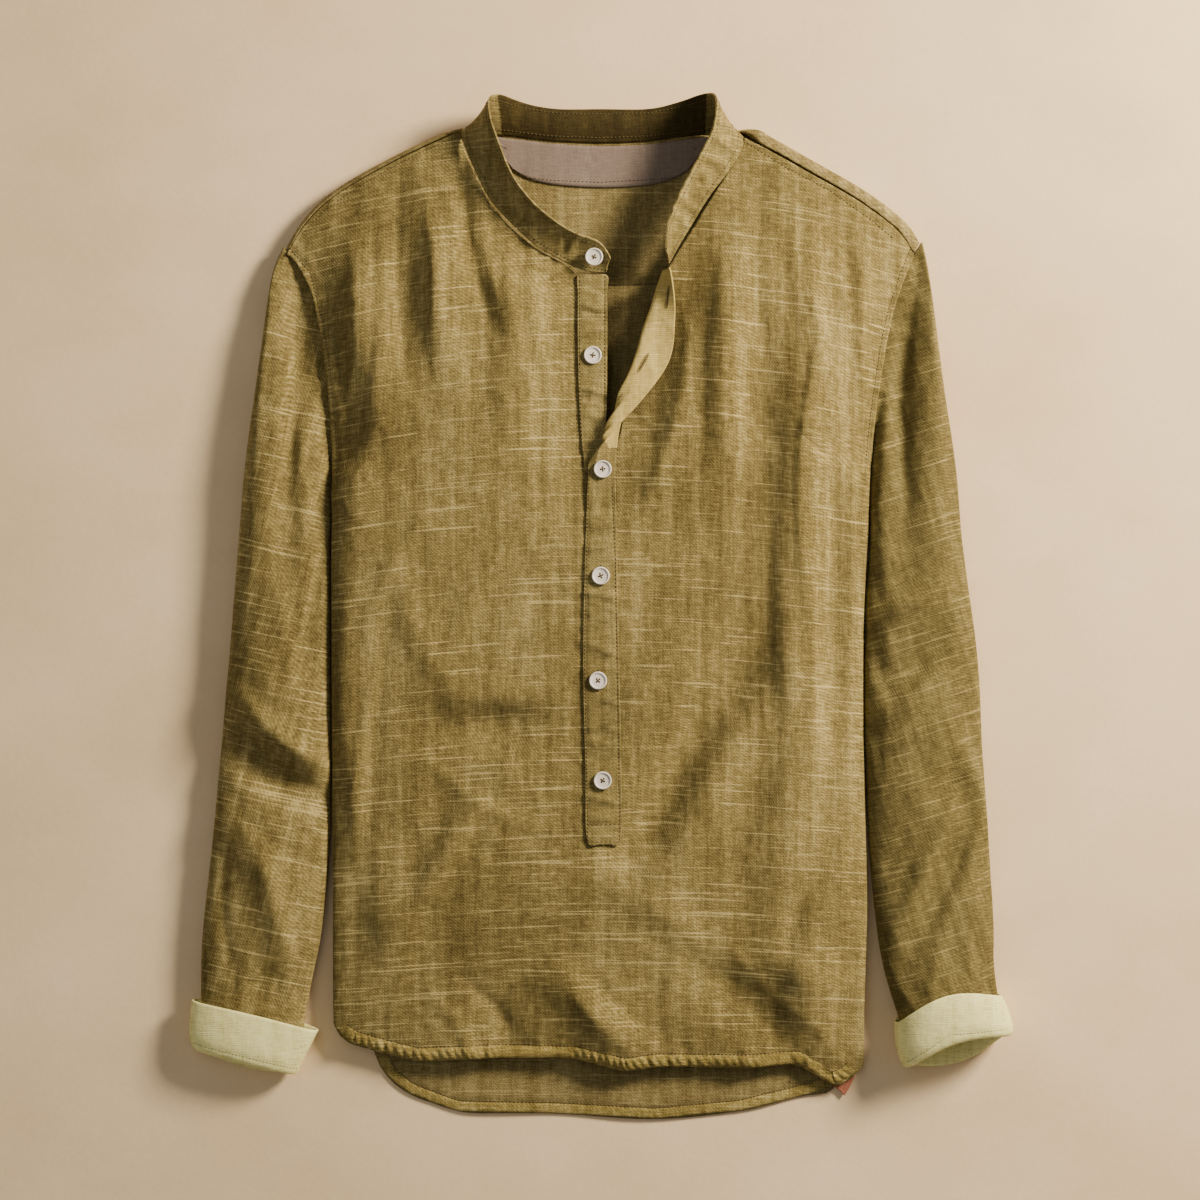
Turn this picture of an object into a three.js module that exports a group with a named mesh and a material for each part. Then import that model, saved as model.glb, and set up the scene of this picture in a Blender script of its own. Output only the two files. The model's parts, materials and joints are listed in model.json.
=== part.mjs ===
// A band-collar henley shirt of slubbed linen, laid face up on a flat surface.
// Units are millimetres. +X is to the right of the laid shirt, +Y points to its collar, +Z up off the surface.
// Left is -X and right is +X. Every cloth piece is a wall made from a grid of middle-surface points.
import * as THREE from "three";

// Cloth and seams
const CLOTH = 1.4; // wall of the shirt cloth
const STRIP = 1.2; // wall of the placket strips and the facing
const SEAM_GAP = 0.3; // clear space between two sewn pieces
const FLAT = CLOTH / 2; // middle of a wall that lies on the surface
const LIFT = CLOTH + SEAM_GAP; // from the middle of one wall to the middle of the wall on it

// Body
const UNDERARM_Y = 98;
const BREAK = { x: -3, y: 113 }; // lowest point of the open slit
const SIDE_ROLL = 22; // how far the side rounds inwards from its widest point
const SIDE_HEIGHT = 15; // height of the side's widest point
const SIDE_FOOT_ANGLE = -66; // where the front stops under the side, in degrees
const ARMHOLE_SHARE = 0.6; // share of the front's rows that lie below the armhole
const ARMHOLE_LAP = 3; // how far the sleeve reaches under the front
const SHOULDER_ROLL = 6; // how far the shoulder rounds inwards from its outline
const YOKE_EDGE_Y = 248;

const SMALL = 1e-9;
const radians = THREE.MathUtils.degToRad;
const clamp01 = (t) => Math.min(1, Math.max(0, t));
const mix = (a, b, t) => a + (b - a) * t;
const smooth = (t) => clamp01(t) ** 2 * (3 - 2 * clamp01(t));

// Heights of the front above the surface, down the body
const CROWN = [
  { y: -365, crown: 9.5, side: 7 },
  { y: -335, crown: 14, side: 9 },
  { y: -290, crown: 18, side: 12 },
  { y: -200, crown: 24, side: SIDE_HEIGHT },
  { y: -60, crown: 29, side: SIDE_HEIGHT },
  { y: 80, crown: 33, side: SIDE_HEIGHT },
  { y: 200, crown: 34, side: 14 },
  { y: 300, crown: 29, side: 13 },
  { y: 370, crown: 22, side: 12 },
];

// Widest points of the body below the armholes
const SIDES = [
  { y: -365, left: -203, right: 200 },
  { y: -300, left: -203, right: 200 },
  { y: -230, left: -203, right: 202 },
  { y: -90, left: -203.5, right: 199 },
  { y: 0, left: -204, right: 199.5 },
  { y: 60, left: -204, right: 203 },
  { y: 98, left: -204, right: 204.5 },
];

// Lower edge of the front, from left to right
const FRONT_HEM = [
  { x: -204, y: -312 },
  { x: -199, y: -323 },
  { x: -190, y: -330 },
  { x: -170, y: -336 },
  { x: -140, y: -343.5 },
  { x: -90, y: -341.5 },
  { x: -20, y: -342 },
  { x: 18, y: -350.5 },
  { x: 43, y: -348 },
  { x: 113, y: -349 },
  { x: 150, y: -346 },
  { x: 166, y: -358 },
  { x: 177, y: -363 },
  { x: 189, y: -358 },
  { x: 199, y: -349 },
  { x: 202, y: -340 },
];

// Lower edge of the back's tail, from left to right
const BACK_HEM = [
  { x: -173, y: -340 },
  { x: -168, y: -352 },
  { x: -160, y: -360.5 },
  { x: -146, y: -370.5 },
  { x: -124, y: -379 },
  { x: -109, y: -384 },
  { x: -35, y: -385.5 },
  { x: 43, y: -389.5 },
  { x: 107, y: -383.5 },
  { x: 138, y: -376 },
  { x: 162, y: -370 },
  { x: 182, y: -362 },
];

// Seam lines in plan, each from its lower or neck end
const ARMHOLE = {
  left: [[-204, 98], [-204.6, 125], [-206.5, 157], [-210, 189], [-215.5, 220], [-224, 254], [-239, 272]],
  right: [[204.5, 98], [209, 146], [213.5, 178], [218, 206], [223, 228], [232, 255], [240, 274]],
};
const SHOULDER_OUTLINE = {
  left: [[-110.5, 366], [-132, 356.5], [-160, 343], [-192, 325.5], [-213, 310.5], [-228, 294], [-240, 274]],
  right: [[115, 366], [133.5, 356.5], [165.5, 338.5], [197.5, 320.5], [221, 304], [235, 291], [243.4, 277]],
};
const SHOULDER_SEAM_INSET = { left: 3, right: 8.5 };
const SLIT_EDGE = {
  left: [[BREAK.x, BREAK.y], [-13.5, 132], [-15, 190], [-15, 252]],
  right: [[BREAK.x, BREAK.y], [12, 127], [17, 152], [21.5, 171], [29, 197], [34, 212], [39, 228], [44, 244], [50, 259]],
};
const BACK_NECKLINE = [[-98, 364], [-63, 360.5], [-38, 357.5], [0, 355.5], [38, 357], [68, 361], [102, 364]];

// Collar band: where its seam and its free edge run, from the left front end round the back to the right
const COLLAR = [
  { seamX: 4, seamY: 256, seamZ: 19, edgeX: 7.5, edgeY: 267, edgeZ: 27 },
  { seamX: -12, seamY: 257, seamZ: 19, edgeX: -2, edgeY: 278, edgeZ: 30 },
  { seamX: -31, seamY: 265.5, seamZ: 20, edgeX: -20, edgeY: 284.5, edgeZ: 33 },
  { seamX: -51, seamY: 277.5, seamZ: 21, edgeX: -38, edgeY: 295.5, edgeZ: 36 },
  { seamX: -71, seamY: 296, seamZ: 22, edgeX: -54.5, edgeY: 310.5, edgeZ: 39 },
  { seamX: -85, seamY: 312.5, seamZ: 23, edgeX: -67, edgeY: 328, edgeZ: 41 },
  { seamX: -95, seamY: 332.5, seamZ: 24, edgeX: -76.5, edgeY: 351, edgeZ: 43 },
  { seamX: -103, seamY: 352, seamZ: 24, edgeX: -82.5, edgeY: 369, edgeZ: 44 },
  { seamX: -105, seamY: 363, seamZ: 17, edgeX: -83.5, edgeY: 384, edgeZ: 40 },
  { seamX: -96, seamY: 363.5, seamZ: 7, edgeX: -75, edgeY: 388.5, edgeZ: 28 },
  { seamX: -72, seamY: 362.5, seamZ: 3, edgeX: -58, edgeY: 385, edgeZ: 14 },
  { seamX: -38, seamY: 358.5, seamZ: 2.6, edgeX: -34, edgeY: 381.5, edgeZ: 8 },
  { seamX: 0, seamY: 357, seamZ: 2.6, edgeX: 0, edgeY: 381.5, edgeZ: 7 },
  { seamX: 38, seamY: 358.5, seamZ: 2.6, edgeX: 36, edgeY: 381.5, edgeZ: 8 },
  { seamX: 74, seamY: 362.5, seamZ: 3, edgeX: 60, edgeY: 386, edgeZ: 14 },
  { seamX: 98.5, seamY: 360.5, seamZ: 7.5, edgeX: 78, edgeY: 389.5, edgeZ: 28 },
  { seamX: 107.5, seamY: 359, seamZ: 17, edgeX: 86.5, edgeY: 385, edgeZ: 40 },
  { seamX: 106, seamY: 347, seamZ: 24, edgeX: 84.5, edgeY: 363, edgeZ: 44 },
  { seamX: 96, seamY: 331, seamZ: 24, edgeX: 77, edgeY: 346, edgeZ: 44 },
  { seamX: 81.5, seamY: 312, seamZ: 23, edgeX: 66.5, edgeY: 326.5, edgeZ: 43 },
  { seamX: 69, seamY: 292, seamZ: 22, edgeX: 57, edgeY: 307, edgeZ: 43 },
  { seamX: 59, seamY: 275.5, seamZ: 21, edgeX: 50.5, edgeY: 289, edgeZ: 42 },
  { seamX: 51.5, seamY: 262.5, seamZ: 20, edgeX: 49, edgeY: 270, edgeZ: 41 },
];
const COLLAR_CROWN = 2.2; // how far the band bows outwards between its two edges

// Buttonhole strip below the break, where it lies closed
const PLACKET_CLOSED = [
  { y: -178, free: -9, seam: 13.5 },
  { y: -174, free: -11.2, seam: 16 },
  { y: -114, free: -12, seam: 15.5 },
  { y: -38, free: -13.5, seam: 14 },
  { y: 38, free: -12, seam: 12.5 },
  { y: 104, free: -9.5, seam: 11 },
];
// Buttonhole strip above the break, where it turns out: its seam, its fold and its free edge
const PLACKET_TURNED = [
  { y: 112, seamX: 11.5, foldX: -5.5, foldZ: 0.9, freeX: -8.6, freeZ: 0.4 },
  { y: 120, seamX: 12, foldX: -2.8, foldZ: 4, freeX: -2.5, freeZ: 6 },
  { y: 129, seamX: 13, foldX: -0.5, foldZ: 5, freeX: 5, freeZ: 8 },
  { y: 140, seamX: 15, foldX: 4, foldZ: 5.5, freeX: 14.5, freeZ: 8.5 },
  { y: 152, seamX: 18, foldX: 8.6, foldZ: 6, freeX: 26, freeZ: 8 },
  { y: 171, seamX: 22.5, foldX: 16.2, foldZ: 6.5, freeX: 41.5, freeZ: 6.5 },
  { y: 185, seamX: 26.5, foldX: 21, foldZ: 6.5, freeX: 50.5, freeZ: 6.5 },
  { y: 198, seamX: 30.5, foldX: 25.3, foldZ: 6.5, freeX: 54.5, freeZ: 8 },
  { y: 213, seamX: 35, foldX: 30, foldZ: 6.5, freeX: 55.8, freeZ: 11 },
  { y: 228, seamX: 40, foldX: 35.9, foldZ: 6, freeX: 56, freeZ: 15 },
  { y: 243, seamX: 44.5, foldX: 41, foldZ: 5, freeX: 54.5, freeZ: 19 },
  { y: 256, seamX: 49.5, foldX: 46.5, foldZ: 4, freeX: 52, freeZ: 22 },
];
const STITCHED_BOX = { y: -163, drop: 0.4 }; // the sewn box at the foot of the strip

// Button strip, seen between the slit's edges
const BUTTON_STRIP = [
  { y: 99, left: -10, right: 8, height: 0 },
  { y: 122, left: -14, right: 3, height: 0 },
  { y: 150, left: -16, right: 4.5, height: 0 },
  { y: 200, left: -17.5, right: 5, height: 0 },
  { y: 253.5, left: -17.5, right: 5, height: 0 },
];

// Sections of a tube that lies on the surface. Each has an inner and an outer end in plan (ix, iy, ox, oy),
// how far its upper and lower walls bow along the tube, the height of its top, of its outer end and of its base.
const SLEEVE_LEFT = [
  { ix: -201, iy: 99, ox: -241.4, oy: 275.4, bow: 0, rise: 15, inner: 2, side: 9, base: FLAT },
  { ix: -203.2, iy: 90, ox: -249, oy: 256, bow: 0, rise: 20, inner: 2, side: 10, base: FLAT },
  { ix: -205.4, iy: 76, ox: -255, oy: 218, bow: 0, rise: 26, inner: 3, side: 11, base: FLAT },
  { ix: -206.6, iy: 53, ox: -262, oy: 166, bow: 0, rise: 30, inner: 8, side: 12, base: FLAT },
  { ix: -206.4, iy: 18, ox: -269.5, oy: 113, bow: 2, rise: 31, inner: 9, side: 12, base: FLAT },
  { ix: -206.2, iy: -28, ox: -275, oy: 48, bow: 2, rise: 30, inner: 9, side: 12, base: FLAT },
  { ix: -206, iy: -82, ox: -281, oy: -27, bow: 0, rise: 29, inner: 9, side: 12, base: FLAT },
  { ix: -206, iy: -140, ox: -288, oy: -105, bow: 0, rise: 27, inner: 9, side: 11, base: FLAT },
  { ix: -208, iy: -198, ox: -294.5, oy: -175, bow: 0, rise: 25, inner: 9, side: 11, base: FLAT },
  { ix: -214, iy: -250, ox: -301.5, oy: -238, bow: 0, rise: 23, inner: 9, side: 11, base: FLAT },
  { ix: -221, iy: -284, ox: -303.5, oy: -277, bow: -3, rise: 21, inner: 9, side: 11, base: FLAT + 1.4 },
  { ix: -229.3, iy: -334.4, ox: -302.9, oy: -317.4, bow: 0, rise: 20, inner: 11.1, side: 12, base: FLAT + 4.4 },
];
const SLEEVE_RIGHT = [
  { ix: 201.5, iy: 99, ox: 244.6, oy: 278.9, bow: 0, rise: 15, inner: 2, side: 9, base: FLAT },
  { ix: 202.5, iy: 91, ox: 249, oy: 258, bow: 0, rise: 20, inner: 2, side: 10, base: FLAT },
  { ix: 204.8, iy: 76, ox: 254.5, oy: 216, bow: 0, rise: 26, inner: 3, side: 11, base: FLAT },
  { ix: 205.6, iy: 53, ox: 260.5, oy: 168, bow: 0, rise: 30, inner: 8, side: 12, base: FLAT },
  { ix: 203.4, iy: 18, ox: 269.5, oy: 108, bow: 2, rise: 31, inner: 9, side: 12, base: FLAT },
  { ix: 201.8, iy: -28, ox: 275, oy: 45, bow: 2, rise: 30, inner: 9, side: 12, base: FLAT },
  { ix: 201.5, iy: -82, ox: 286, oy: -37, bow: 0, rise: 29, inner: 9, side: 12, base: FLAT },
  { ix: 203, iy: -140, ox: 290, oy: -112, bow: 0, rise: 28, inner: 9, side: 12, base: FLAT },
  { ix: 206.5, iy: -198, ox: 294.5, oy: -180, bow: 0, rise: 28, inner: 9, side: 13, base: FLAT },
  { ix: 212, iy: -250, ox: 298, oy: -240, bow: 2, rise: 29, inner: 10, side: 14, base: FLAT },
  { ix: 219, iy: -284, ox: 298, oy: -270, bow: 6, rise: 30, inner: 12, side: 16, base: FLAT + 1.4 },
  { ix: 233.3, iy: -328.4, ox: 302.4, oy: -306.4, bow: 11, rise: 35.5, inner: 16, side: 19, base: FLAT + 4.4 },
];

// Turn-ups: rows from the free upper edge down to the fold and back up inside
const CUFF_LEFT = [
  { ix: -215.5, iy: -320, ox: -310.3, oy: -297, bow: 2, baseBow: 3, rise: 27, side: 12, base: FLAT },
  { ix: -221, iy: -331, ox: -311.5, oy: -308, bow: 1, baseBow: 0, rise: 27.5, side: 12, base: FLAT },
  { ix: -226.5, iy: -342, ox: -312, oy: -320, bow: 0, baseBow: -3, rise: 27.5, side: 12, base: FLAT },
  { ix: -230.5, iy: -350, ox: -310.5, oy: -330, bow: 0, baseBow: -5, rise: 26, side: 12, base: FLAT },
  { ix: -232.5, iy: -353, ox: -307, oy: -334.5, bow: 0, baseBow: -6, rise: 23, side: 12, base: FLAT + 1.2 },
  { ix: -233.5, iy: -350.5, ox: -304, oy: -333, bow: 0, baseBow: -5, rise: 20.5, side: 12, base: FLAT + 3.6 },
  { ix: -232, iy: -343, ox: -303, oy: -325, bow: 0, baseBow: -3, rise: 20, side: 12, base: FLAT + 4.4 },
  { ix: -229.5, iy: -335, ox: -303, oy: -318, bow: 0, baseBow: 0, rise: 20, side: 12, base: FLAT + 4.4 },
];
const CUFF_RIGHT = [
  { ix: 223.7, iy: -313, ox: 303, oy: -292, bow: 13, baseBow: 8, rise: 43, side: 21, base: FLAT },
  { ix: 224, iy: -322, ox: 307, oy: -300, bow: 13, baseBow: 2, rise: 44, side: 21, base: FLAT },
  { ix: 225, iy: -332, ox: 310, oy: -309, bow: 13, baseBow: -4, rise: 44, side: 21, base: FLAT },
  { ix: 228, iy: -342, ox: 311.8, oy: -317, bow: 11, baseBow: -9, rise: 43, side: 21, base: FLAT },
  { ix: 231, iy: -346.5, ox: 310.5, oy: -321.5, bow: 9, baseBow: -12, rise: 40, side: 20, base: FLAT + 1.2 },
  { ix: 234, iy: -344.5, ox: 307, oy: -320.5, bow: 9, baseBow: -10, rise: 37, side: 19, base: FLAT + 3.6 },
  { ix: 234.5, iy: -337, ox: 304.5, oy: -314, bow: 10, baseBow: -6, rise: 36, side: 19, base: FLAT + 4.4 },
  { ix: 233.5, iy: -329, ox: 302.5, oy: -307, bow: 11, baseBow: -1, rise: 35.5, side: 19, base: FLAT + 4.4 },
];

// The largest folds: a ridge (height above 0) or trough along a line, with its half-width
const BODY_FOLDS = [
  { x0: 160, y0: 190, x1: 150, y1: -40, height: 7.2, width: 16 },
  { x0: 150, y0: -60, x1: 138, y1: -190, height: 6.5, width: 15 },
  { x0: 98, y0: -60, x1: 28, y1: -170, height: -8, width: 17 },
  { x0: 62, y0: -30, x1: 22, y1: -78, height: 5.8, width: 15 },
  { x0: 118, y0: 200, x1: 122, y1: 90, height: -5.1, width: 15 },
  { x0: 85, y0: 270, x1: 92, y1: 120, height: 5.1, width: 14 },
  { x0: 172, y0: -210, x1: 158, y1: -300, height: 7.2, width: 16 },
  { x0: 78, y0: -262, x1: 148, y1: -338, height: -5.8, width: 17 },
  { x0: -22, y0: -288, x1: 22, y1: -338, height: 6.5, width: 13 },
  { x0: -92, y0: -300, x1: -70, y1: -332, height: -4.3, width: 18 },
  { x0: -60, y0: -90, x1: -124, y1: -92, height: -5.8, width: 11 },
  { x0: -52, y0: -135, x1: -150, y1: -230, height: 5.8, width: 18 },
  { x0: -92, y0: 322, x1: -84, y1: 180, height: -6.5, width: 11 },
  { x0: -66, y0: 270, x1: -50, y1: 150, height: 5.1, width: 12 },
  { x0: -186, y0: 268, x1: -196, y1: 130, height: 5.8, width: 12 },
  { x0: -150, y0: 300, x1: -146, y1: 190, height: -5.1, width: 13 },
  { x0: -126, y0: 320, x1: -120, y1: 210, height: 4.3, width: 11 },
  { x0: -172, y0: -300, x1: -150, y1: -150, height: 4.3, width: 14 },
];
const SLEEVE_FOLDS = [
  { x0: -232, y0: 246, x1: -238, y1: 40, height: -12, width: 12 },
  { x0: -214, y0: 70, x1: -218, y1: -30, height: -7, width: 12 },
  { x0: -262, y0: -60, x1: -208, y1: -112, height: 7, width: 14 },
  { x0: -275, y0: -108, x1: -215, y1: -140, height: -8, width: 16 },
  { x0: -262, y0: -180, x1: -240, y1: -250, height: 4, width: 16 },
  { x0: -262, y0: -300, x1: -226, y1: -270, height: -6, width: 12 },
  { x0: 236, y0: 240, x1: 228, y1: 60, height: -12, width: 13 },
  { x0: 214, y0: 12, x1: 262, y1: 44, height: -6, width: 12 },
  { x0: 212, y0: -62, x1: 252, y1: -24, height: -7, width: 14 },
  { x0: 214, y0: -100, x1: 276, y1: -66, height: 5, width: 13 },
  { x0: 262, y0: -130, x1: 280, y1: -92, height: -5, width: 12 },
  { x0: 282, y0: -150, x1: 234, y1: -262, height: -7, width: 13 },
  { x0: 262, y0: -150, x1: 226, y1: -230, height: 5, width: 12 },
];

// Value of a column of a table at a place, smoothly between its rows
function column(table, key, name, at) {
  const last = table.length - 1;
  const place = Math.min(table[last][key], Math.max(table[0][key], at));
  let i = 0;
  while (i < last - 1 && place > table[i + 1][key]) i += 1;
  const slope = (k) => {
    const a = table[Math.max(0, k - 1)];
    const b = table[Math.min(last, k + 1)];
    return (b[name] - a[name]) / (b[key] - a[key]);
  };
  const span = table[i + 1][key] - table[i][key];
  const t = (place - table[i][key]) / span;
  return hermite(table[i][name], table[i + 1][name], slope(i) * span, slope(i + 1) * span, t);
}

function hermite(a, b, slopeA, slopeB, t) {
  const t2 = t * t;
  const t3 = t2 * t;
  return (2 * t3 - 3 * t2 + 1) * a + (t3 - 2 * t2 + t) * slopeA + (3 * t2 - 2 * t3) * b + (t3 - t2) * slopeB;
}

// Point of a smooth line through points of any dimension, at a share of its chord length
function along(points, share) {
  const table = [{ d: 0 }];
  for (let i = 1; i < points.length; i += 1) {
    const step = Math.hypot(...points[i].map((c, k) => c - points[i - 1][k]));
    table.push({ d: table[i - 1].d + step });
  }
  points.forEach((p, i) => p.forEach((c, k) => (table[i][k] = c)));
  const at = clamp01(share) * table[table.length - 1].d;
  return points[0].map((_, k) => column(table, "d", k, at));
}

// Sum of the folds at a place in plan: each fades at its two ends and across its width
function foldHeight(folds, x, y) {
  let sum = 0;
  for (const f of folds) {
    const dx = f.x1 - f.x0;
    const dy = f.y1 - f.y0;
    const length = Math.hypot(dx, dy);
    const t = ((x - f.x0) * dx + (y - f.y0) * dy) / length ** 2;
    const across = Math.abs((x - f.x0) * dy - (y - f.y0) * dx) / length;
    const past = Math.max(0, -t, t - 1) * length;
    const ends = 1 - 0.35 * Math.abs(2 * clamp01(t) - 1) ** 2;
    sum += f.height * ends * Math.exp(-((across / f.width) ** 2) - (past / (1.6 * f.width)) ** 2);
  }
  return sum;
}

// A closed wall from a sheet of quads: the sheet moved half the wall out and half in, joined along its open edges
function wall(points, quads, thickness) {
  const p = points.map((q) => new THREE.Vector3(...q));
  const normals = p.map(() => new THREE.Vector3());
  const edges = new Map();
  for (const quad of quads) {
    const n = new THREE.Vector3()
      .subVectors(p[quad[2]], p[quad[0]])
      .cross(new THREE.Vector3().subVectors(p[quad[3]], p[quad[1]]));
    quad.forEach((i, k) => {
      normals[i].add(n);
      const j = quad[(k + 1) % 4];
      if (!edges.delete(`${j},${i}`)) edges.set(`${i},${j}`, [i, j]);
    });
  }
  const count = p.length;
  const position = new Float32Array(count * 6);
  p.forEach((q, i) => {
    const half = normals[i].normalize().multiplyScalar(thickness / 2);
    new THREE.Vector3().addVectors(q, half).toArray(position, 3 * i);
    new THREE.Vector3().subVectors(q, half).toArray(position, 3 * (count + i));
  });
  const index = [];
  for (const [a, b, c, d] of quads) {
    index.push(a, b, c, a, c, d);
    index.push(count + a, count + c, count + b, count + a, count + d, count + c);
  }
  for (const [i, j] of edges.values()) index.push(i, count + i, count + j, i, count + j, j);
  const geometry = new THREE.BufferGeometry();
  geometry.setAttribute("position", new THREE.BufferAttribute(position, 3));
  geometry.setIndex(index);
  return outwards(geometry);
}

// Turns a closed geometry's faces to point out
function outwards(geometry) {
  const p = geometry.attributes.position;
  const index = geometry.index.array;
  const [a, b, c] = [new THREE.Vector3(), new THREE.Vector3(), new THREE.Vector3()];
  let volume = 0;
  for (let i = 0; i < index.length; i += 3) {
    a.fromBufferAttribute(p, index[i]);
    b.fromBufferAttribute(p, index[i + 1]);
    c.fromBufferAttribute(p, index[i + 2]);
    volume += a.dot(b.cross(c));
  }
  if (volume < 0) for (let i = 0; i < index.length; i += 3) [index[i + 1], index[i + 2]] = [index[i + 2], index[i + 1]];
  return geometry;
}

// A sheet from a grid of points; with loop set, its last column joins its first
function grid(rows, loop = false) {
  const wide = rows[0].length;
  const quads = [];
  for (let r = 0; r + 1 < rows.length; r += 1)
    for (let c = 0; c < (loop ? wide : wide - 1); c += 1) {
      const d = (c + 1) % wide;
      quads.push([r * wide + c, r * wide + d, (r + 1) * wide + d, (r + 1) * wide + c]);
    }
  return { points: rows.flat(), quads };
}

const steps = (count) => Array.from({ length: count + 1 }, (_, i) => i / count);

// Front

const neckline = {
  left: COLLAR.slice(1, 9).map((c) => [c.seamX - 1, c.seamY - 1.8]),
  right: COLLAR.slice(16)
    .reverse()
    .map((c) => [c.seamX + mix(1.6, 3.8, smooth((c.seamY - 310) / 40)), c.seamY - 1.8]),
};

// Where the front meets the yoke: plan place and height at a share of the way from the neck to the sleeve
function shoulderSeam(side, share) {
  const [x, y] = along(SHOULDER_OUTLINE[side], share);
  const outward = shoulderOutward(side);
  const inset = SHOULDER_SEAM_INSET[side];
  const top = shoulderTop(share);
  const turn = Math.acos(Math.max(0, 1 - inset / SHOULDER_ROLL));
  return {
    x: x - outward[0] * inset,
    y: y - outward[1] * inset,
    z: FLAT + ((top - FLAT) * (1 + Math.sin(turn))) / 2,
    turn,
  };
}

const shoulderTop = (share) => mix(21, 14, smooth(share));

function shoulderOutward(side) {
  const line = SHOULDER_OUTLINE[side];
  const [ax, ay] = line[0];
  const [bx, by] = line[line.length - 1];
  const length = Math.hypot(bx - ax, by - ay);
  const sign = side === "left" ? 1 : -1;
  return [((by - ay) / length) * sign, (-(bx - ax) / length) * sign];
}

// Edge heights of the front: at the armhole, and at the slit and neckline
const armholeHeight = (share) => mix(10, 14, smooth(share * 2.2)) - 1.5 * smooth((share - 0.8) / 0.2);
const slitHeight = (share) => mix(24, 18, smooth(share / 0.55)) + 4 * smooth((share - 0.6) / 0.4);

// A point of one half of the front. across is the distance from its outer edge, or a negative turn under the side.
function frontPoint(side, rowShare, columnShare) {
  const sideSign = side === "left" ? -1 : 1;
  const below = rowShare <= ARMHOLE_SHARE;
  const t = below ? rowShare / ARMHOLE_SHARE : (rowShare - ARMHOLE_SHARE) / (1 - ARMHOLE_SHARE);
  const hemEdge = side === "left" ? -316 : -343;
  const innerLine = [...SLIT_EDGE[side], ...neckline[side].slice(1)];
  let outer;
  let inner;
  if (below) {
    const y = mix(hemEdge, UNDERARM_Y, t);
    outer = [column(SIDES, "y", side, y), y];
    inner = [BREAK.x * smooth(t), mix(-347, BREAK.y, t)];
  } else {
    outer = along(ARMHOLE[side], t);
    inner = along(innerLine, t);
  }
  if (rowShare > 0.9) {
    const seam = shoulderSeam(side, 1);
    const end = [seam.x, seam.y - 1];
    outer = outer.map((c, k) => mix(c, end[k], smooth((rowShare - 0.9) / 0.1)));
    const neck = shoulderSeam(side, 0);
    const top = [neck.x - sideSign * 1.2, neck.y - 1.6];
    inner = inner.map((c, k) => mix(c, top[k], smooth((rowShare - 0.9) / 0.1)));
  }
  const length = Math.hypot(inner[0] - outer[0], inner[1] - outer[1]);
  const direction = [(inner[0] - outer[0]) / length, (inner[1] - outer[1]) / length];
  const turnedUp = smooth((rowShare - 0.5) / 0.1);
  const opened = smooth((rowShare - ARMHOLE_SHARE) / 0.08);
  const { distance, turn } = columnPlace(columnShare, length, turnedUp, opened);
  let x = outer[0] + direction[0] * distance;
  let y = outer[1] + direction[1] * distance;
  const low = 1 - clamp01(t);
  if (below) y += (column(FRONT_HEM, "x", "y", x) - mix(hemEdge, -347, distance / length)) * low ** 5;
  if (rowShare > 0.8) {
    const seam = shoulderSeam(side, 1 - distance / length);
    const bow = smooth((rowShare - 0.8) / 0.2);
    const end = shoulderSeam(side, 1);
    const neck = shoulderSeam(side, 0);
    const chord = distance / length;
    x += (seam.x - mix(end.x, neck.x, chord)) * bow;
    y += (seam.y - mix(end.y, neck.y, chord)) * bow;
  }
  // Height: a soft crown with folds, brought down to each open edge
  const across = Math.min(1, Math.abs(x) / 205);
  let z = column(CROWN, "y", "crown", y) * (1 - 0.16 * across ** 2) + foldHeight(BODY_FOLDS, x, y);
  const sideZ = mix(column(CROWN, "y", "side", y), armholeHeight(0), turnedUp);
  let plain = z;
  if (!below) {
    plain = mix(armholeHeight(t), z, smooth(distance / 42));
    const slit = (1 - smooth((length - distance) / 60)) * 0.999;
    plain = mix(plain, slitHeight(t), slit);
    z = mix(z, slitHeight(t), slit);
    const seam = shoulderSeam(side, 1 - distance / length);
    const up = smooth((rowShare - 0.84) / 0.16);
    plain = mix(plain, seam.z, up);
  } else {
    const slit = smooth((rowShare - 0.5) / 0.1) * (1 - smooth((length - distance) / 60));
    z = mix(z, slitHeight(0), slit);
  }
  const wave = 1.5 * Math.sin(x / 19 + 1) + 0.7 * Math.sin(x / 8.3);
  z = Math.max(FLAT + LIFT + 0.6, z + wave * clamp01(low * 6 - 5));
  const rolled = sideZ + (turn > 0 ? z - sideZ : sideZ - FLAT - LIFT) * Math.sin(turn);
  return [x, y, mix(rolled, plain, opened)];
}

const SIDE_TURNS = [SIDE_FOOT_ANGLE, -40, -14, 12, 38, 64, 90].map(radians);
const ROLL_COLUMNS = SIDE_TURNS.length - 1;

// Distance from the outer edge and turn of a column. Its first columns round the side: turnedUp brings the
// side's foot up to its widest point, and opened spreads the columns evenly.
function columnPlace(share, length, turnedUp, opened) {
  const plain = share * length;
  const place = share * FRONT_COLUMNS;
  if (place > ROLL_COLUMNS) {
    const rest = (place - ROLL_COLUMNS) / (FRONT_COLUMNS - ROLL_COLUMNS);
    return { distance: mix(mix(SIDE_ROLL, length, rest), plain, opened), turn: Math.PI / 2 };
  }
  const nearest = Math.round(place);
  const turn = mix(SIDE_TURNS[nearest], (nearest / ROLL_COLUMNS) * (Math.PI / 2), turnedUp);
  return { distance: mix(SIDE_ROLL * (1 - Math.cos(turn)), plain, opened), turn };
}

const FRONT_COLUMNS = 15; // in each half
const ROWS_BELOW = 18;
const ROWS_ABOVE = 13;
const FRONT_ROWS = [
  ...steps(ROWS_BELOW).map((t) => t * ARMHOLE_SHARE),
  ...steps(ROWS_ABOVE).slice(1).map((t) => mix(ARMHOLE_SHARE, 1, t)),
];

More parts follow.
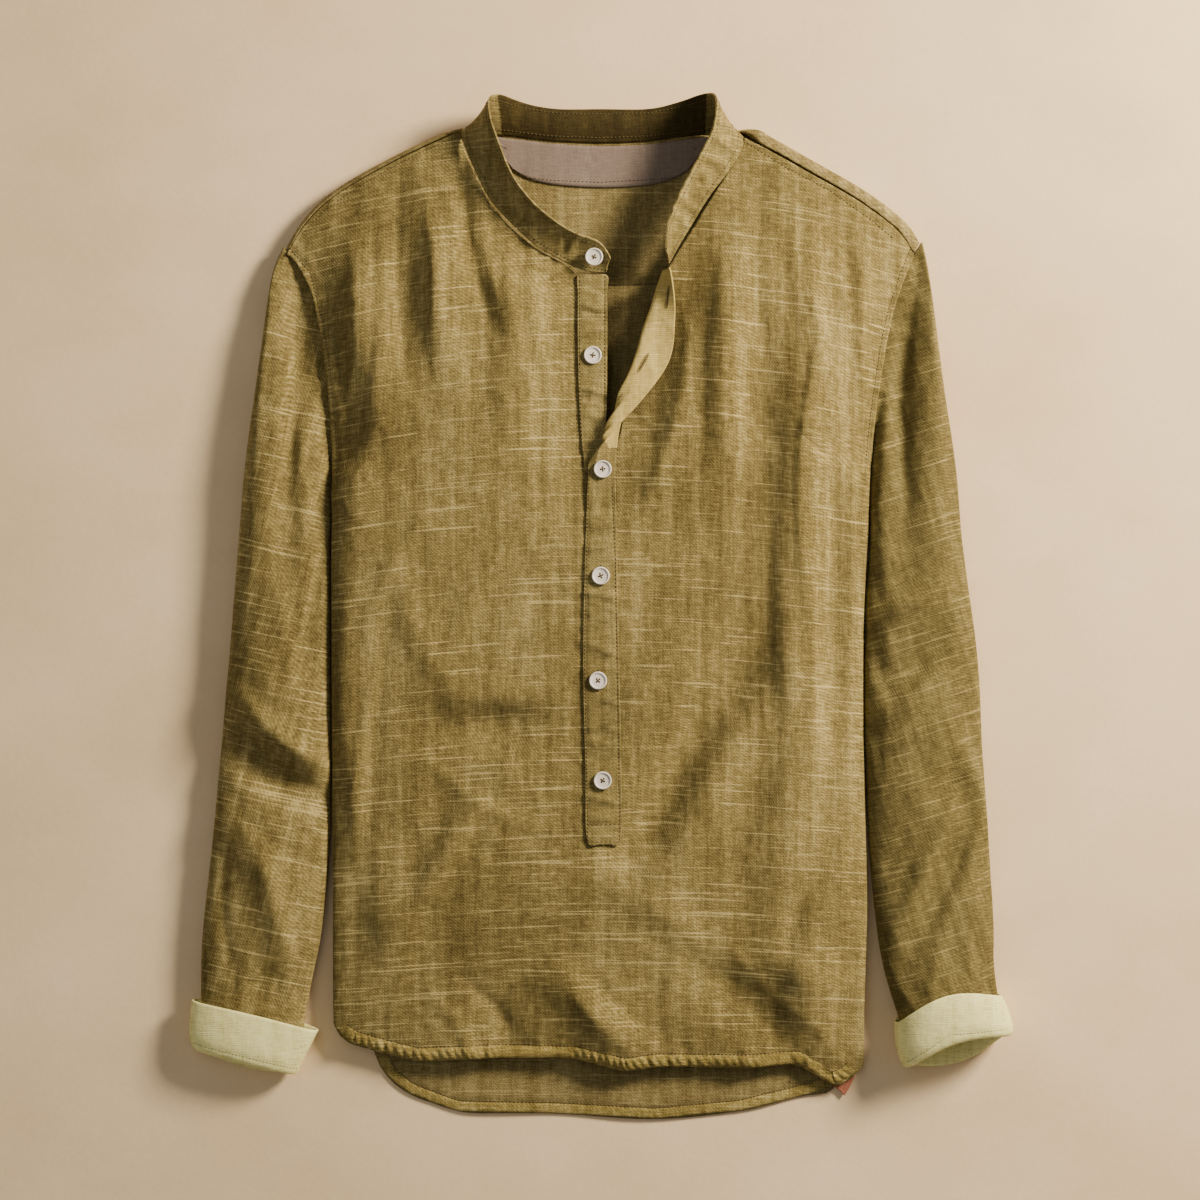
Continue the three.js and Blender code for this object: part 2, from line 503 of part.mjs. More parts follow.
// Both halves of the front share their centre line up to the break, and part above it
function frontSheet() {
  const points = [];
  const quads = [];
  const place = {};
  const row = (side, r) => steps(FRONT_COLUMNS).map((c) => frontPoint(side, FRONT_ROWS[r], c));
  for (const side of ["left", "right"]) {
    place[side] = FRONT_ROWS.map((_, r) =>
      row(side, r).map((p, c) => {
        const shared = side === "right" && c === FRONT_COLUMNS && r <= ROWS_BELOW;
        if (shared) return place.left[r][FRONT_COLUMNS];
        points.push(p);
        return points.length - 1;
      }),
    );
    for (let r = 0; r + 1 < FRONT_ROWS.length; r += 1)
      for (let c = 0; c < FRONT_COLUMNS; c += 1) {
        const [a, b, d, e] = [place[side][r][c], place[side][r][c + 1], place[side][r + 1][c + 1], place[side][r + 1][c]];
        quads.push(side === "left" ? [a, b, d, e] : [b, a, e, d]);
      }
  }
  return { points, quads };
}

// Height of a sheet at a place in plan: of the facet over the place, or of the nearest point where it is open
function heightOn(sheet) {
  const p = sheet.points;
  const side = (a, b, x, y) => (b[0] - a[0]) * (y - a[1]) - (b[1] - a[1]) * (x - a[0]);
  return (x, y) => {
    let top = -Infinity;
    for (const q of sheet.quads)
      for (const [i, j, k] of [[q[0], q[1], q[2]], [q[0], q[2], q[3]]]) {
        const area = side(p[i], p[j], p[k][0], p[k][1]);
        const u = side(p[j], p[k], x, y) / area;
        const v = side(p[k], p[i], x, y) / area;
        if (!(u >= -SMALL && v >= -SMALL && u + v <= 1 + SMALL)) continue;
        top = Math.max(top, u * p[i][2] + v * p[j][2] + (1 - u - v) * p[k][2]);
      }
    if (top > 0) return top;
    const far = (q) => Math.hypot(q[0] - x, q[1] - y);
    return p.reduce((near, q) => (far(q) < far(near) ? q : near))[2];
  };
}

// Back and yoke

function backSheet() {
  const columns = 16;
  const rows = 11;
  const below = 8;
  const sheet = steps(rows).map((_, r) =>
    steps(columns).map((u) => {
      const foot = mix(-173, 182, u);
      const hemY = column(BACK_HEM, "x", "y", foot);
      if (r <= below) {
        const t = r / below;
        const wide = smooth(t * 3);
        const x = mix(foot, mix(-188.5, 186, u), wide);
        const z = FLAT + (0.5 + 0.5 * Math.sin(foot / 17)) * clamp01(1 - t * 14) * (1 - Math.abs(2 * u - 1) ** 4);
        return [x, mix(hemY, UNDERARM_Y, t), z];
      }
      const t = (r - below) / (rows - below);
      const left = along(ARMHOLE.left, t * YOKE_SIDE_SHARE);
      const right = along(ARMHOLE.right, t * YOKE_SIDE_SHARE);
      const inset = mix(16, ARMHOLE_LAP + 1.4, smooth(t * 2));
      return [mix(left[0] + inset, right[0] - inset, u), mix(UNDERARM_Y, YOKE_EDGE_Y - 0.5, t), FLAT];
    }),
  );
  return grid(sheet);
}

const YOKE_SIDE_SHARE = 0.84; // share of the armhole's length that lies below the yoke

// A column of the yoke runs up the back and, at the shoulders, over the fold to the front seam
const YOKE_END = { left: 0.985, right: 0.99 }; // share of the shoulder's outline that the yoke reaches

function yokeColumn(share) {
  const side = share < 0.5 ? "left" : "right";
  const fromNeck = (Math.abs(share - 0.5) * 2 - NECK_SHARE) / (1 - NECK_SHARE);
  const onShoulder = fromNeck > 0;
  const footX = mix(-217, 222, share);
  const outward = shoulderOutward(side);
  const t = clamp01(fromNeck);
  const wrap = smooth((fromNeck + 0.06) / 0.06);
  const seam = shoulderSeam(side, t);
  let edge = along(SHOULDER_OUTLINE[side], t * YOKE_END[side]);
  if (!onShoulder) {
    const u = (share - (0.5 - NECK_SHARE / 2)) / NECK_SHARE;
    const back = along(BACK_NECKLINE, u);
    edge = [mix(back[0], edge[0], wrap), mix(back[1], edge[1], wrap)];
  }
  const endTurn = mix(-Math.PI / 2, seam.turn, wrap);
  const start = [edge[0] - outward[0] * SHOULDER_ROLL * wrap, edge[1] - outward[1] * SHOULDER_ROLL * wrap];
  const path = steps(2).map((k) => [mix(footX, start[0], k), mix(YOKE_EDGE_Y, start[1], k), FLAT]);
  const top = shoulderTop(t);
  const flatPast = Math.max(0, SHOULDER_SEAM_INSET[side] - SHOULDER_ROLL) * wrap;
  for (const k of steps(6).slice(1)) {
    const turn = mix(-Math.PI / 2, endTurn, k);
    const inwards = SHOULDER_ROLL * (1 - Math.cos(turn) * wrap - (1 - wrap)) + flatPast * smooth(k * 3 - 2);
    const z = FLAT + (((top - FLAT) * (1 + Math.sin(turn))) / 2) * wrap + 0.4 * k * (1 - wrap);
    const stretch = (1 - wrap) * 3 * k;
    path.push([edge[0] - outward[0] * inwards, edge[1] - outward[1] * inwards + stretch - 3 * (1 - wrap), z]);
  }
  return path;
}

const NECK_SHARE = 0.46; // share of the yoke's width that lies between the two neck ends

function yokeSheet() {
  const columns = steps(40).map(yokeColumn);
  return grid(columns);
}

function facingSheet() {
  const rows = steps(14).map((u) => {
    const [x, y] = along(BACK_NECKLINE, mix(0.06, 0.92, u));
    const depth = 31.5 * Math.sqrt(Math.max(0.05, 1 - (2 * u - 1) ** 6));
    return steps(3).map((k) => [x * (1 - 0.1 * k), y - 1.5 - depth * k, FLAT + LIFT + 0.1]);
  });
  return grid(rows);
}

// Collar

function collarSheet() {
  const seam = COLLAR.map((c) => [c.seamX, c.seamY, c.seamZ]);
  const edge = COLLAR.map((c) => [c.edgeX, c.edgeY, c.edgeZ]);
  const rows = steps(48).map((u) => {
    const place = u * (COLLAR.length - 1);
    const a = station(seam, place);
    const b = station(edge, place);
    const tangent = new THREE.Vector3(...station(seam, place + 0.1)).sub(new THREE.Vector3(...station(seam, place - 0.1)));
    const up = new THREE.Vector3(...b).sub(new THREE.Vector3(...a));
    const out = tangent.cross(up).normalize();
    const end = Math.min(1, Math.min(u, 1 - u) * 40);
    return steps(4).map((k) => {
      const bow = COLLAR_CROWN * Math.sin(Math.PI * k) * end;
      const trim = k === 1 && (u === 0 || u === 1) ? 0.93 : k;
      return a.map((c, i) => mix(c, b[i], trim) + out.getComponent(i) * bow);
    });
  });
  return grid(rows);
}

// Smooth point between the rows of a list, by row number
function station(list, place) {
  const at = Math.min(list.length - 1, Math.max(0, place));
  return list[0].map((_, k) => column(list.map((p, i) => ({ i, value: p[k] })), "i", "value", at));
}

// Plackets

// The buttonhole strip: it lies on the front below the break and turns out above it
function placketOver(height) {
  const rows = [];
  const onFront = (x, y, lift) => [x, y, height(x, y) + lift];
  for (const k of steps(22)) {
    const y = mix(-178, 104, k);
    const free = column(PLACKET_CLOSED, "y", "free", y);
    const seam = column(PLACKET_CLOSED, "y", "seam", y);
    const box = y < STITCHED_BOX.y ? STITCHED_BOX.drop : 0;
    const lift = mix(CLOSED_LIFT, OVER_LIFT, smooth((y - 66) / 26)) + box;
    rows.push(steps(4).map((c) => onFront(mix(seam, free, c), y, lift)));
  }
  for (const k of steps(16)) {
    const y = mix(112, 256, k);
    const at = (name) => column(PLACKET_TURNED, "y", name, y);
    const seam = onFront(at("seamX"), y, OVER_LIFT - 0.2);
    const fold = [at("foldX"), y, seam[2] + at("foldZ")];
    const free = [at("freeX"), y, seam[2] + at("freeZ")];
    const lower = Math.abs(seam[0] - fold[0]);
    const upper = Math.hypot(free[0] - fold[0], free[2] - fold[2]);
    const turned = upper / (upper + lower);
    rows.push(steps(4).map((c) => turnedPoint(seam, fold, free, c, 1 - turned)));
  }
  return grid(rows);
}

const OVER_LIFT = 2 * LIFT + 0.3; // over the button strip
const CLOSED_LIFT = LIFT + 0.15; // where it lies on the front itself

// A strip's section from its seam, round its fold, to its free edge
function turnedPoint(seam, fold, free, share, foldShare) {
  if (share <= foldShare) {
    const t = share / Math.max(foldShare, SMALL);
    return [mix(seam[0], fold[0], t), fold[1], mix(seam[2], fold[2], smooth(t) * t)];
  }
  const t = (share - foldShare) / (1 - foldShare);
  const crown = 1.6 * Math.sin(Math.PI * Math.sqrt(t));
  return [mix(fold[0], free[0], t), fold[1], mix(fold[2], free[2], t) + crown];
}

function placketUnder(height) {
  const rows = steps(14).map((k) => {
    const y = mix(102.6, 253.5, k);
    const left = column(BUTTON_STRIP, "y", "left", y);
    const right = column(BUTTON_STRIP, "y", "right", y);
    const z = height(left, y) + LIFT + 0.15;
    return steps(2).map((c) => [mix(left, right, c), y, z]);
  });
  return grid(rows);
}

// Sleeves and turn-ups

const AROUND = 22;

// One section of a tube: over its top from its inner end to its outer end, and back along its base
function section(s, folds, guide) {
  const length = Math.hypot(s.ox - s.ix, s.oy - s.iy);
  const upX = (-(s.oy - s.iy) / length) * Math.sign(s.ox);
  const upY = ((s.ox - s.ix) / length) * Math.sign(s.ox);
  return steps(AROUND).slice(0, -1).map((share) => {
    const turn = share * 2 * Math.PI;
    const q = (1 - Math.cos(turn)) / 2;
    const over = Math.sin(turn) > -SMALL;
    const bow = (over ? s.bow : s.baseBow ?? 0) * Math.sin(Math.PI * q);
    const guided = guide ? guide(q) : [0, 0];
    const x = mix(s.ix, s.ox, q) + upX * bow + guided[0];
    const y = mix(s.iy, s.oy, q) + upY * bow + guided[1];
    const level = mix(s.inner, s.side, q);
    const sine = Math.abs(Math.sin(turn));
    if (!over) return [x, y, Math.max(s.base, level) - (Math.max(s.base, level) - s.base) * sine ** 0.5];
    const fold = foldHeight(folds, x, y) * sine * s.foldShare;
    return [x, y, level + Math.max(1.2, (s.rise - level) * sine ** 0.8 + fold) * Math.min(1, sine * 4)];
  });
}

// The sleeve's first section follows the armhole, and the next ones give that shape up
function sleeveSheet(side, table) {
  const rings = table.length - 1;
  const names = ["ix", "iy", "ox", "oy", "bow", "rise", "inner", "side", "base"];
  const first = table[0];
  const inward = side === "left" ? 1 : -1;
  const places = [...steps(4).map((t) => t * 1.2), ...steps(20).slice(1).map((t) => mix(1.2, rings, t))];
  const rows = places.map((place) => {
    const s = {};
    const at = station(table.map((row) => names.map((n) => row[n])), place);
    names.forEach((n, k) => (s[n] = at[k]));
    s.base = Math.max(FLAT, s.base);
    s.foldShare = smooth(place / 1.4) * smooth((rings - place) / 1.2);
    const fade = Math.max(0, 1 - place / 3.6) ** 1.4;
    const guide = (q) => {
      const on = along(ARMHOLE[side], q);
      const past = smooth((q - 0.8) / 0.2);
      const headX = mix(on[0] + inward * ARMHOLE_LAP, first.ox, past);
      const headY = mix(on[1], first.oy, past);
      return [(headX - mix(first.ix, first.ox, q)) * fade, (headY - mix(first.iy, first.oy, q)) * fade];
    };
    const points = section(s, SLEEVE_FOLDS, guide);
    const tuck = 1 - smooth((place - 0.7) / 1.4);
    if (tuck <= 0) return points;
    return points.map(([x, y, z], i) => {
      const share = i / AROUND;
      if (share > 0.5) return [x, y, z];
      const q = (1 - Math.cos(share * 2 * Math.PI)) / 2;
      const seat = Math.max(FLAT + 0.3, (armholeHeight(q) - 3.4) * smooth(q * 4));
      const head = smooth((q - 0.86) / 0.14);
      return [x, y, mix(mix(z, Math.max(z * 0.2, seat), tuck), z, head)];
    });
  });
  return grid(rows, true);
}

function cuffSheet(table) {
  const rings = table.length - 1;
  const names = ["ix", "iy", "ox", "oy", "bow", "baseBow", "rise", "side", "base"];
  const rows = steps(11).map((t) => {
    const s = { foldShare: 0 };
    const at = station(table.map((row) => names.map((n) => row[n])), t * rings);
    names.forEach((n, k) => (s[n] = at[k]));
    s.inner = mix(9, s.side, 0.7);
    return section(s, [], null);
  });
  return grid(rows, true);
}

// Buttons and gusset

const BUTTON = { radius: 6.8, rim: 2.6, dish: 1.7, hole: 0.75, holeOffset: 1.35 };
const BUTTONS = [
  { x: -5, y: 266.5, on: "collar" },
  { x: -6, y: 192.5, on: "under" },
  { x: 1.5, y: 106, on: "over" },
  { x: 0, y: 25.5, on: "over" },
  { x: -2, y: -53.5, on: "over" },
  { x: 1.5, y: -129, on: "over" },
];

// A dished disc with four sewing holes through it
function buttonGeometry() {
  const ring = new THREE.Shape().absarc(0, 0, BUTTON.radius, 0, 2 * Math.PI);
  for (const k of [0, 1, 2, 3]) {
    const turn = Math.PI / 4 + (k * Math.PI) / 2;
    const hole = new THREE.Path();
    hole.absarc(Math.cos(turn) * BUTTON.holeOffset * 1.4, Math.sin(turn) * BUTTON.holeOffset * 1.4, BUTTON.hole, 0, 2 * Math.PI, true);
    ring.holes.push(hole);
  }
  const options = { depth: BUTTON.dish, bevelEnabled: false, curveSegments: 4 };
  return new THREE.ExtrudeGeometry(ring, options);
}

// A small triangle that shows past the front's lower edge
function gussetSheet() {
  const rows = steps(3).map((v) =>
    steps(3).map((u) => {
      const x = mix(mix(178, 186, v), mix(194, 186.6, v), u);
      const y = column(FRONT_HEM, "x", "y", x) - 1.1;
      return [x, mix(y, -371, v), FLAT + LIFT + 0.2];
    }),
  );
  return grid(rows);
}

// Assembly

const COLOURS = {
  linen: { color: "#8d7b3c", roughness: 0.92 },
  linenBack: { color: "#b3ae74", roughness: 0.94 },
  facing: { color: "#9a8c86", roughness: 0.85 },
  button: { color: "#e6e0d6", roughness: 0.4 },
  gusset: { color: "#b0705a", roughness: 0.9 },
};

const shirt = new THREE.Group();

function addCloth(name, sheet, look, thickness = CLOTH) {
  const material = new THREE.MeshStandardMaterial({ ...COLOURS[look], metalness: 0 });
  const mesh = new THREE.Mesh(wall(sheet.points, sheet.quads, thickness), material);
  mesh.name = name;
  shirt.add(mesh);
  return mesh;
}

const front = frontSheet();
const frontHeight = heightOn(front);
addCloth("front_panel", front, "linen");
addCloth("back_panel", backSheet(), "linen");
addCloth("yoke", yokeSheet(), "linen");
addCloth("neck_facing", facingSheet(), "facing", STRIP);
addCloth("collar_band", collarSheet(), "linen");
addCloth("placket_under", placketUnder(frontHeight), "linen", STRIP);
addCloth("sleeve_left", sleeveSheet("left", SLEEVE_LEFT), "linen");
addCloth("sleeve_right", sleeveSheet("right", SLEEVE_RIGHT), "linen");
addCloth("cuff_left", cuffSheet(CUFF_LEFT), "linenBack");
addCloth("cuff_right", cuffSheet(CUFF_RIGHT), "linenBack");
addCloth("gusset_right", gussetSheet(), "gusset", STRIP);

const strip = placketOver(frontHeight);
const stripHeight = heightOn(strip);
const DISC = [0, 1, 2, 3, 4, 5, 6, 7].map((k) => [Math.cos((k * Math.PI) / 4) * 6.8, Math.sin((k * Math.PI) / 4) * 6.8]);
const seats = {
  collar: () => 27.4,
  under: (x, y) => frontHeight(-17, y) + LIFT + 0.15 + STRIP / 2 + 2 * SEAM_GAP,
  over: (x, y) => Math.max(...DISC.map(([u, v]) => stripHeight(x + u, y + v))) + STRIP / 2 + SEAM_GAP,
};
addCloth("placket_over", strip, "linen", STRIP);
BUTTONS.forEach((b, i) => {
  const mesh = new THREE.Mesh(buttonGeometry(), new THREE.MeshStandardMaterial({ ...COLOURS.button, metalness: 0 }));
  mesh.name = `button_${i + 1}`;
  mesh.position.set(b.x, b.y, seats[b.on](b.x, b.y));
  shirt.add(mesh);
});

export default shirt;
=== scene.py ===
"""A band-collar henley shirt in slubbed olive linen, laid face up on pale plaster.

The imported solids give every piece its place. Each cloth piece is a fine shell on its solid's own
form, with creases and puckers added, and the sewing, buttons and materials are made here.
Tables are in millimetres in the shirt's frame: +X right, +Y to the collar, +Z up.
"""

import json
import logging
import math
from dataclasses import dataclass, field
from enum import Enum

import bmesh
import bpy
import numpy as np
from mathutils import Matrix, Vector, noise
from mathutils.bvhtree import BVHTree

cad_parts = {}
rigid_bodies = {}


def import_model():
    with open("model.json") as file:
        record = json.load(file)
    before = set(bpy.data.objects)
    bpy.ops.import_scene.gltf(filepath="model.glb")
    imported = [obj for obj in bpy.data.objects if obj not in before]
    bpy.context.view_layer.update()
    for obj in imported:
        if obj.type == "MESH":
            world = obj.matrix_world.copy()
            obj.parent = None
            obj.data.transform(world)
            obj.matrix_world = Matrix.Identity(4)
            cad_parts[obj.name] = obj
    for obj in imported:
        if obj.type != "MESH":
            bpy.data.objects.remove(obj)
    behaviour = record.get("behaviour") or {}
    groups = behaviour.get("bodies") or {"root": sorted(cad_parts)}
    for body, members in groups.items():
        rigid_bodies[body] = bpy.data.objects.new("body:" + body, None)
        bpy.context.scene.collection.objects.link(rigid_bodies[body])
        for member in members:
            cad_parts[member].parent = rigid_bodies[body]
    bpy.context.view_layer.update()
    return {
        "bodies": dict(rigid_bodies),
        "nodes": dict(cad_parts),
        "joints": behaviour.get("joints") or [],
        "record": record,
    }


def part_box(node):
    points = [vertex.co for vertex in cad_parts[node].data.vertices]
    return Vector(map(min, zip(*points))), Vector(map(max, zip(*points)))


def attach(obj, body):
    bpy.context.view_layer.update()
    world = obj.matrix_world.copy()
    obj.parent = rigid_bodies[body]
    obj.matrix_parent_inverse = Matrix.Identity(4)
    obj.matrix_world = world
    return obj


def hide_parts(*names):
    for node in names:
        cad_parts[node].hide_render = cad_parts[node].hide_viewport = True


LOG = logging.getLogger("shirt")
MM = 0.001
ROOT = "root"


def linear(hex_colour: str) -> tuple[float, float, float, float]:
    """Turns an sRGB hex colour into linear RGBA.

    Args:
        hex_colour: Six hex digits, with or without a leading #.

    Returns:
        Linear red, green and blue from 0 to 1, and an alpha of 1.
    """
    digits = hex_colour.lstrip("#")
    parts = [int(digits[i : i + 2], 16) / 255 for i in (0, 2, 4)]
    curve = [c / 12.92 if c <= 0.04045 else ((c + 0.055) / 1.055) ** 2.4 for c in parts]
    return (*curve, 1.0)


def smooth(t: np.ndarray) -> np.ndarray:
    """Eases 0 to 1 with flat ends, clamped.

    Args:
        t: Shares, also outside 0 to 1.

    Returns:
        Eased shares.
    """
    c = np.clip(t, 0, 1)
    return c * c * (3 - 2 * c)


class Side(Enum):
    """Which face of the woven cloth shows."""

    RIGHT = "right"
    WRONG = "wrong"


@dataclass(frozen=True)
class Finish:
    """Look of one cloth: its colours from dark to light yarn and how its surface behaves."""

    name: str
    dark: str
    middle: str
    light: str
    roughness: float = 0.88
    sheen: float = 0.28
    slub: float = 1.0
    turn: float = 0.0  # degrees from the body's grain, about +Z
    bow: float = 0.0  # share of the weft's fall towards both sides
    bump: float = 1.0
    face: Side = Side.RIGHT


@dataclass(frozen=True)
class Crease:
    """A soft ridge, or a trough when its height is negative, along a bowed line."""

    x0: float
    y0: float
    x1: float
    y1: float
    height: float
    width: float
    bend: float = 0.0
    lean: float = 0.0  # how much narrower its right-hand flank is, from -0.8 to 0.8


@dataclass(frozen=True)
class Puckers:
    """Short creases that cross a seam, uneven in length, depth and spacing."""

    line: tuple[tuple[float, float], ...]
    count: int
    reach: float
    height: float
    width: float
    seed: int
    aside: float = 0.0


@dataclass(frozen=True)
class Panel:
    """One cloth piece: its solid, its look, and the size it was cut to in metres."""

    node: str
    finish: str
    flat: tuple[float, float]
    area: float | None = None
    held: str = "laid"
    rests_on: tuple[str, ...] = ()
    levels: int = 2
    creased: float = 1.0  # share of the creases that this piece takes
    crumple: float = 1.0  # share of the fine crumple
    finer: bool = False  # its upper faces are halved once more
    edge: str = ""  # look of its cut and turned edges, where that differs


@dataclass(frozen=True)
class Run:
    """A row of topstitching along a line in plan, dropped onto the pieces it holds."""

    name: str
    on: tuple[str, ...]
    line: tuple[tuple[float, float], ...]
    pitch: float = 3.0
    thread: float = 0.36


@dataclass(frozen=True)
class Hem:
    """A turned and sewn edge that has roped in the wash, along a line in plan."""

    node: str
    line: tuple[tuple[float, float], ...]
    width: float
    height: float
    rope: float  # share of the height that the rope's turns take
    pitch: float  # of the rope's turns
    square: float = 0.8  # lower is squarer across


@dataclass(frozen=True)
class WrongSideOrPaintedShade:
    """Where a piece's upward faces take another look, to the right of a line: on the flap the cloth's other
    side, on the collar band a painted shade.
    """

    finish: str
    low_y: float
    high_y: float
    line: tuple[tuple[float, float], ...]
    right: float = 999.0

    def edge(self, y: float) -> float:
        """X of the line at a height down the body.

        Args:
            y: Place along Y in millimetres.

        Returns:
            Place along X in millimetres, past which the other look shows.
        """
        places = [p[0] for p in self.line]
        return float(np.interp(y, places, [p[1] for p in self.line]))


# Broad soft folds of the body
BODY_FOLDS = (
    Crease(144, 160, 140, -50, 3.6, 15, 5, 0.2),
    Crease(142, -10, 150, -190, 3.4, 16, -4, 0.2),
    Crease(130, -60, 60, -190, 7.6, 20, 8),
    Crease(96, -80, 44, -160, -4.6, 12, 5),
    Crease(130, -206, 146, -288, 4.0, 15, 3),
    Crease(100, -262, 184, -288, 3.4, 16, -4),
    Crease(-31, -286, 28, -324, 2.6, 11, 3),
    Crease(-130, -210, -60, -112, 4.3, 13, -6),
    Crease(-56, -86, -128, -98, -1.9, 11, 3),
    Crease(-56, -64, -118, -66, 1.7, 11, 2),
    Crease(-118, 306, -112, 170, 3.2, 11, 4),
    Crease(-88, 268, -70, 140, 3.0, 11, 5),
    Crease(-64, 250, -50, 150, -3.2, 8, 4),
    Crease(-170, 270, -180, 110, 3.0, 13, -5),
    Crease(-196, -20, -186, -150, 3.2, 9, 4),
    Crease(-150, 20, -112, -60, 3.2, 12, 6),
    Crease(88, 290, 96, 150, 3.5, 11, -4),
    Crease(62, 180, 34, 60, 3.5, 11, -5),
    Crease(158, 290, 168, 190, 3.5, 9, 3),
    Crease(196, 250, 190, 130, 3.8, 9, -3),
    Crease(176, 60, 180, -90, -3.2, 10, 3),
    Crease(20, -215, 84, -262, 3.2, 12, -4),
    Crease(-20, -236, -84, -300, -3.2, 12, 4),
)

# Broad soft folds of the two sleeves
SLEEVE_FOLDS = (
    Crease(-224, 240, -214, 60, -4.8, 7, 3),
    Crease(-243, 240, -246, 60, 3.4, 8, -3),
    Crease(-275, -68, -203, -122, 5.4, 10, 6),
    Crease(-278, -106, -204, -146, -3.4, 10, 5),
    Crease(-284, -168, -240, -204, 1.5, 10, 5),
    Crease(-252, -210, -242, -282, 2.2, 9, -3),
    Crease(-236, 30, -224, -36, -2.6, 8, 3),
    Crease(226, 230, 216, 90, -3.6, 7, -3),
    Crease(212, -6, 268, 30, 3.6, 8, 4),
    Crease(210, -84, 262, -36, 4.8, 9, 5),
    Crease(290, -100, 250, -150, -3.4, 8, 3),
    Crease(208, 28, 211, 4, -2.8, 6, 1),
    Crease(207, -14, 217, -58, -3.2, 7, 3),
    Crease(205, -78, 210, -104, -2.8, 6, 1),
    Crease(290, -150, 238, -262, 4.5, 9, -6),
    Crease(252, -160, 222, -230, -3.4, 8, 4),
)

# Main creases of the body
BODY_CREASES = (
    # Right side: the long light ridge and what falls away from it
    Crease(164, 205, 150, 40, 2.4, 5.5, 6, 0.4),
    Crease(150, 60, 158, -120, 2.2, 6, -5, 0.3),
    Crease(136, 120, 128, -60, -1.6, 7, 4),
    Crease(172, 120, 176, 10, -1.8, 6, -3),
    Crease(106, -45, 30, -168, -2.0, 11, 8, 0.2),
    Crease(90, -20, 40, -110, 1.7, 6, 6),
    Crease(66, -24, 18, -72, 1.8, 5, 3),
    Crease(132, -150, 60, -232, 1.4, 7, -6),
    Crease(184, -196, 152, -296, 1.4, 9, 8, 0.2),
    Crease(168, -190, 138, -276, -1.8, 6, 6),
    Crease(82, -258, 140, -330, -1.4, 9, 5, -0.2),
    Crease(104, -262, 166, -318, 1.6, 6, 4),
    Crease(60, -250, 40, -320, 1.3, 6, -3),
    # Bottom centre and left
    Crease(-26, -280, 24, -336, 1.4, 6, 5),
    Crease(-8, -276, 44, -322, -1.5, 5, 5),
    Crease(-96, -288, -66, -330, -2.2, 6, -4),
    Crease(-122, -300, -98, -336, 1.6, 5, -3),
    Crease(-150, -280, -160, -330, 1.8, 6, 3),
    Crease(-46, -165, -126, -118, 1.8, 6, -6, 0.2),
    Crease(-104, -136, -158, -244, 1.6, 9, -8, 0.2),
    Crease(-84, -146, -128, -226, -1.6, 6, -5),
    Crease(-58, -82, -122, -92, -1.0, 6, 3),
    Crease(-50, -70, -112, -70, 0.9, 6, 2),
    Crease(-172, -60, -186, -190, 1.9, 6, 5),
    Crease(-160, -20, -170, -130, -1.5, 6, 4),
    Crease(-140, 60, -176, -20, 1.6, 6, 6),
    Crease(-60, 60, -110, -20, 1.3, 8, 6),
    Crease(-36, 20, -70, -50, -1.2, 7, 4),
    # Left chest: creases that fall from the collar and shoulder
    Crease(-104, 352, -86, 222, -3, 5.5, 6, -0.2),
    Crease(-90, 330, -72, 214, 2, 5, 5),
    Crease(-74, 292, -54, 168, 1.7, 5, 4),
    Crease(-58, 268, -44, 160, -1.6, 5, 4),
    Crease(-152, 320, -150, 196, -2.2, 5, 4),
    Crease(-136, 330, -128, 206, 2, 5, -4),
    Crease(-120, 300, -112, 170, -1.4, 6, -3),
    Crease(-186, 262, -196, 146, 2.2, 5.5, -4),
    Crease(-172, 280, -178, 160, -1.8, 5, -3),
    Crease(-204, 240, -200, 150, 1.6, 4.5, 3),
    Crease(-30, 240, -34, 130, 1.1, 6, 2),
    # Right chest
    Crease(120, 318, 124, 200, -2, 6, 4),
    Crease(102, 300, 108, 140, 1.7, 6, -4),
    Crease(86, 262, 78, 120, -1.5, 6, 4),
    Crease(66, 210, 40, 96, 1.8, 6, -6),
    Crease(146, 300, 154, 210, 1.6, 5, 3),
    Crease(186, 280, 190, 170, -1.8, 5, -3),
    Crease(202, 262, 200, 170, 1.7, 5, 3),
    Crease(58, 120, 30, 40, -1.3, 6, 3),
    Crease(80, 60, 46, -10, 1.2, 7, 4),
)

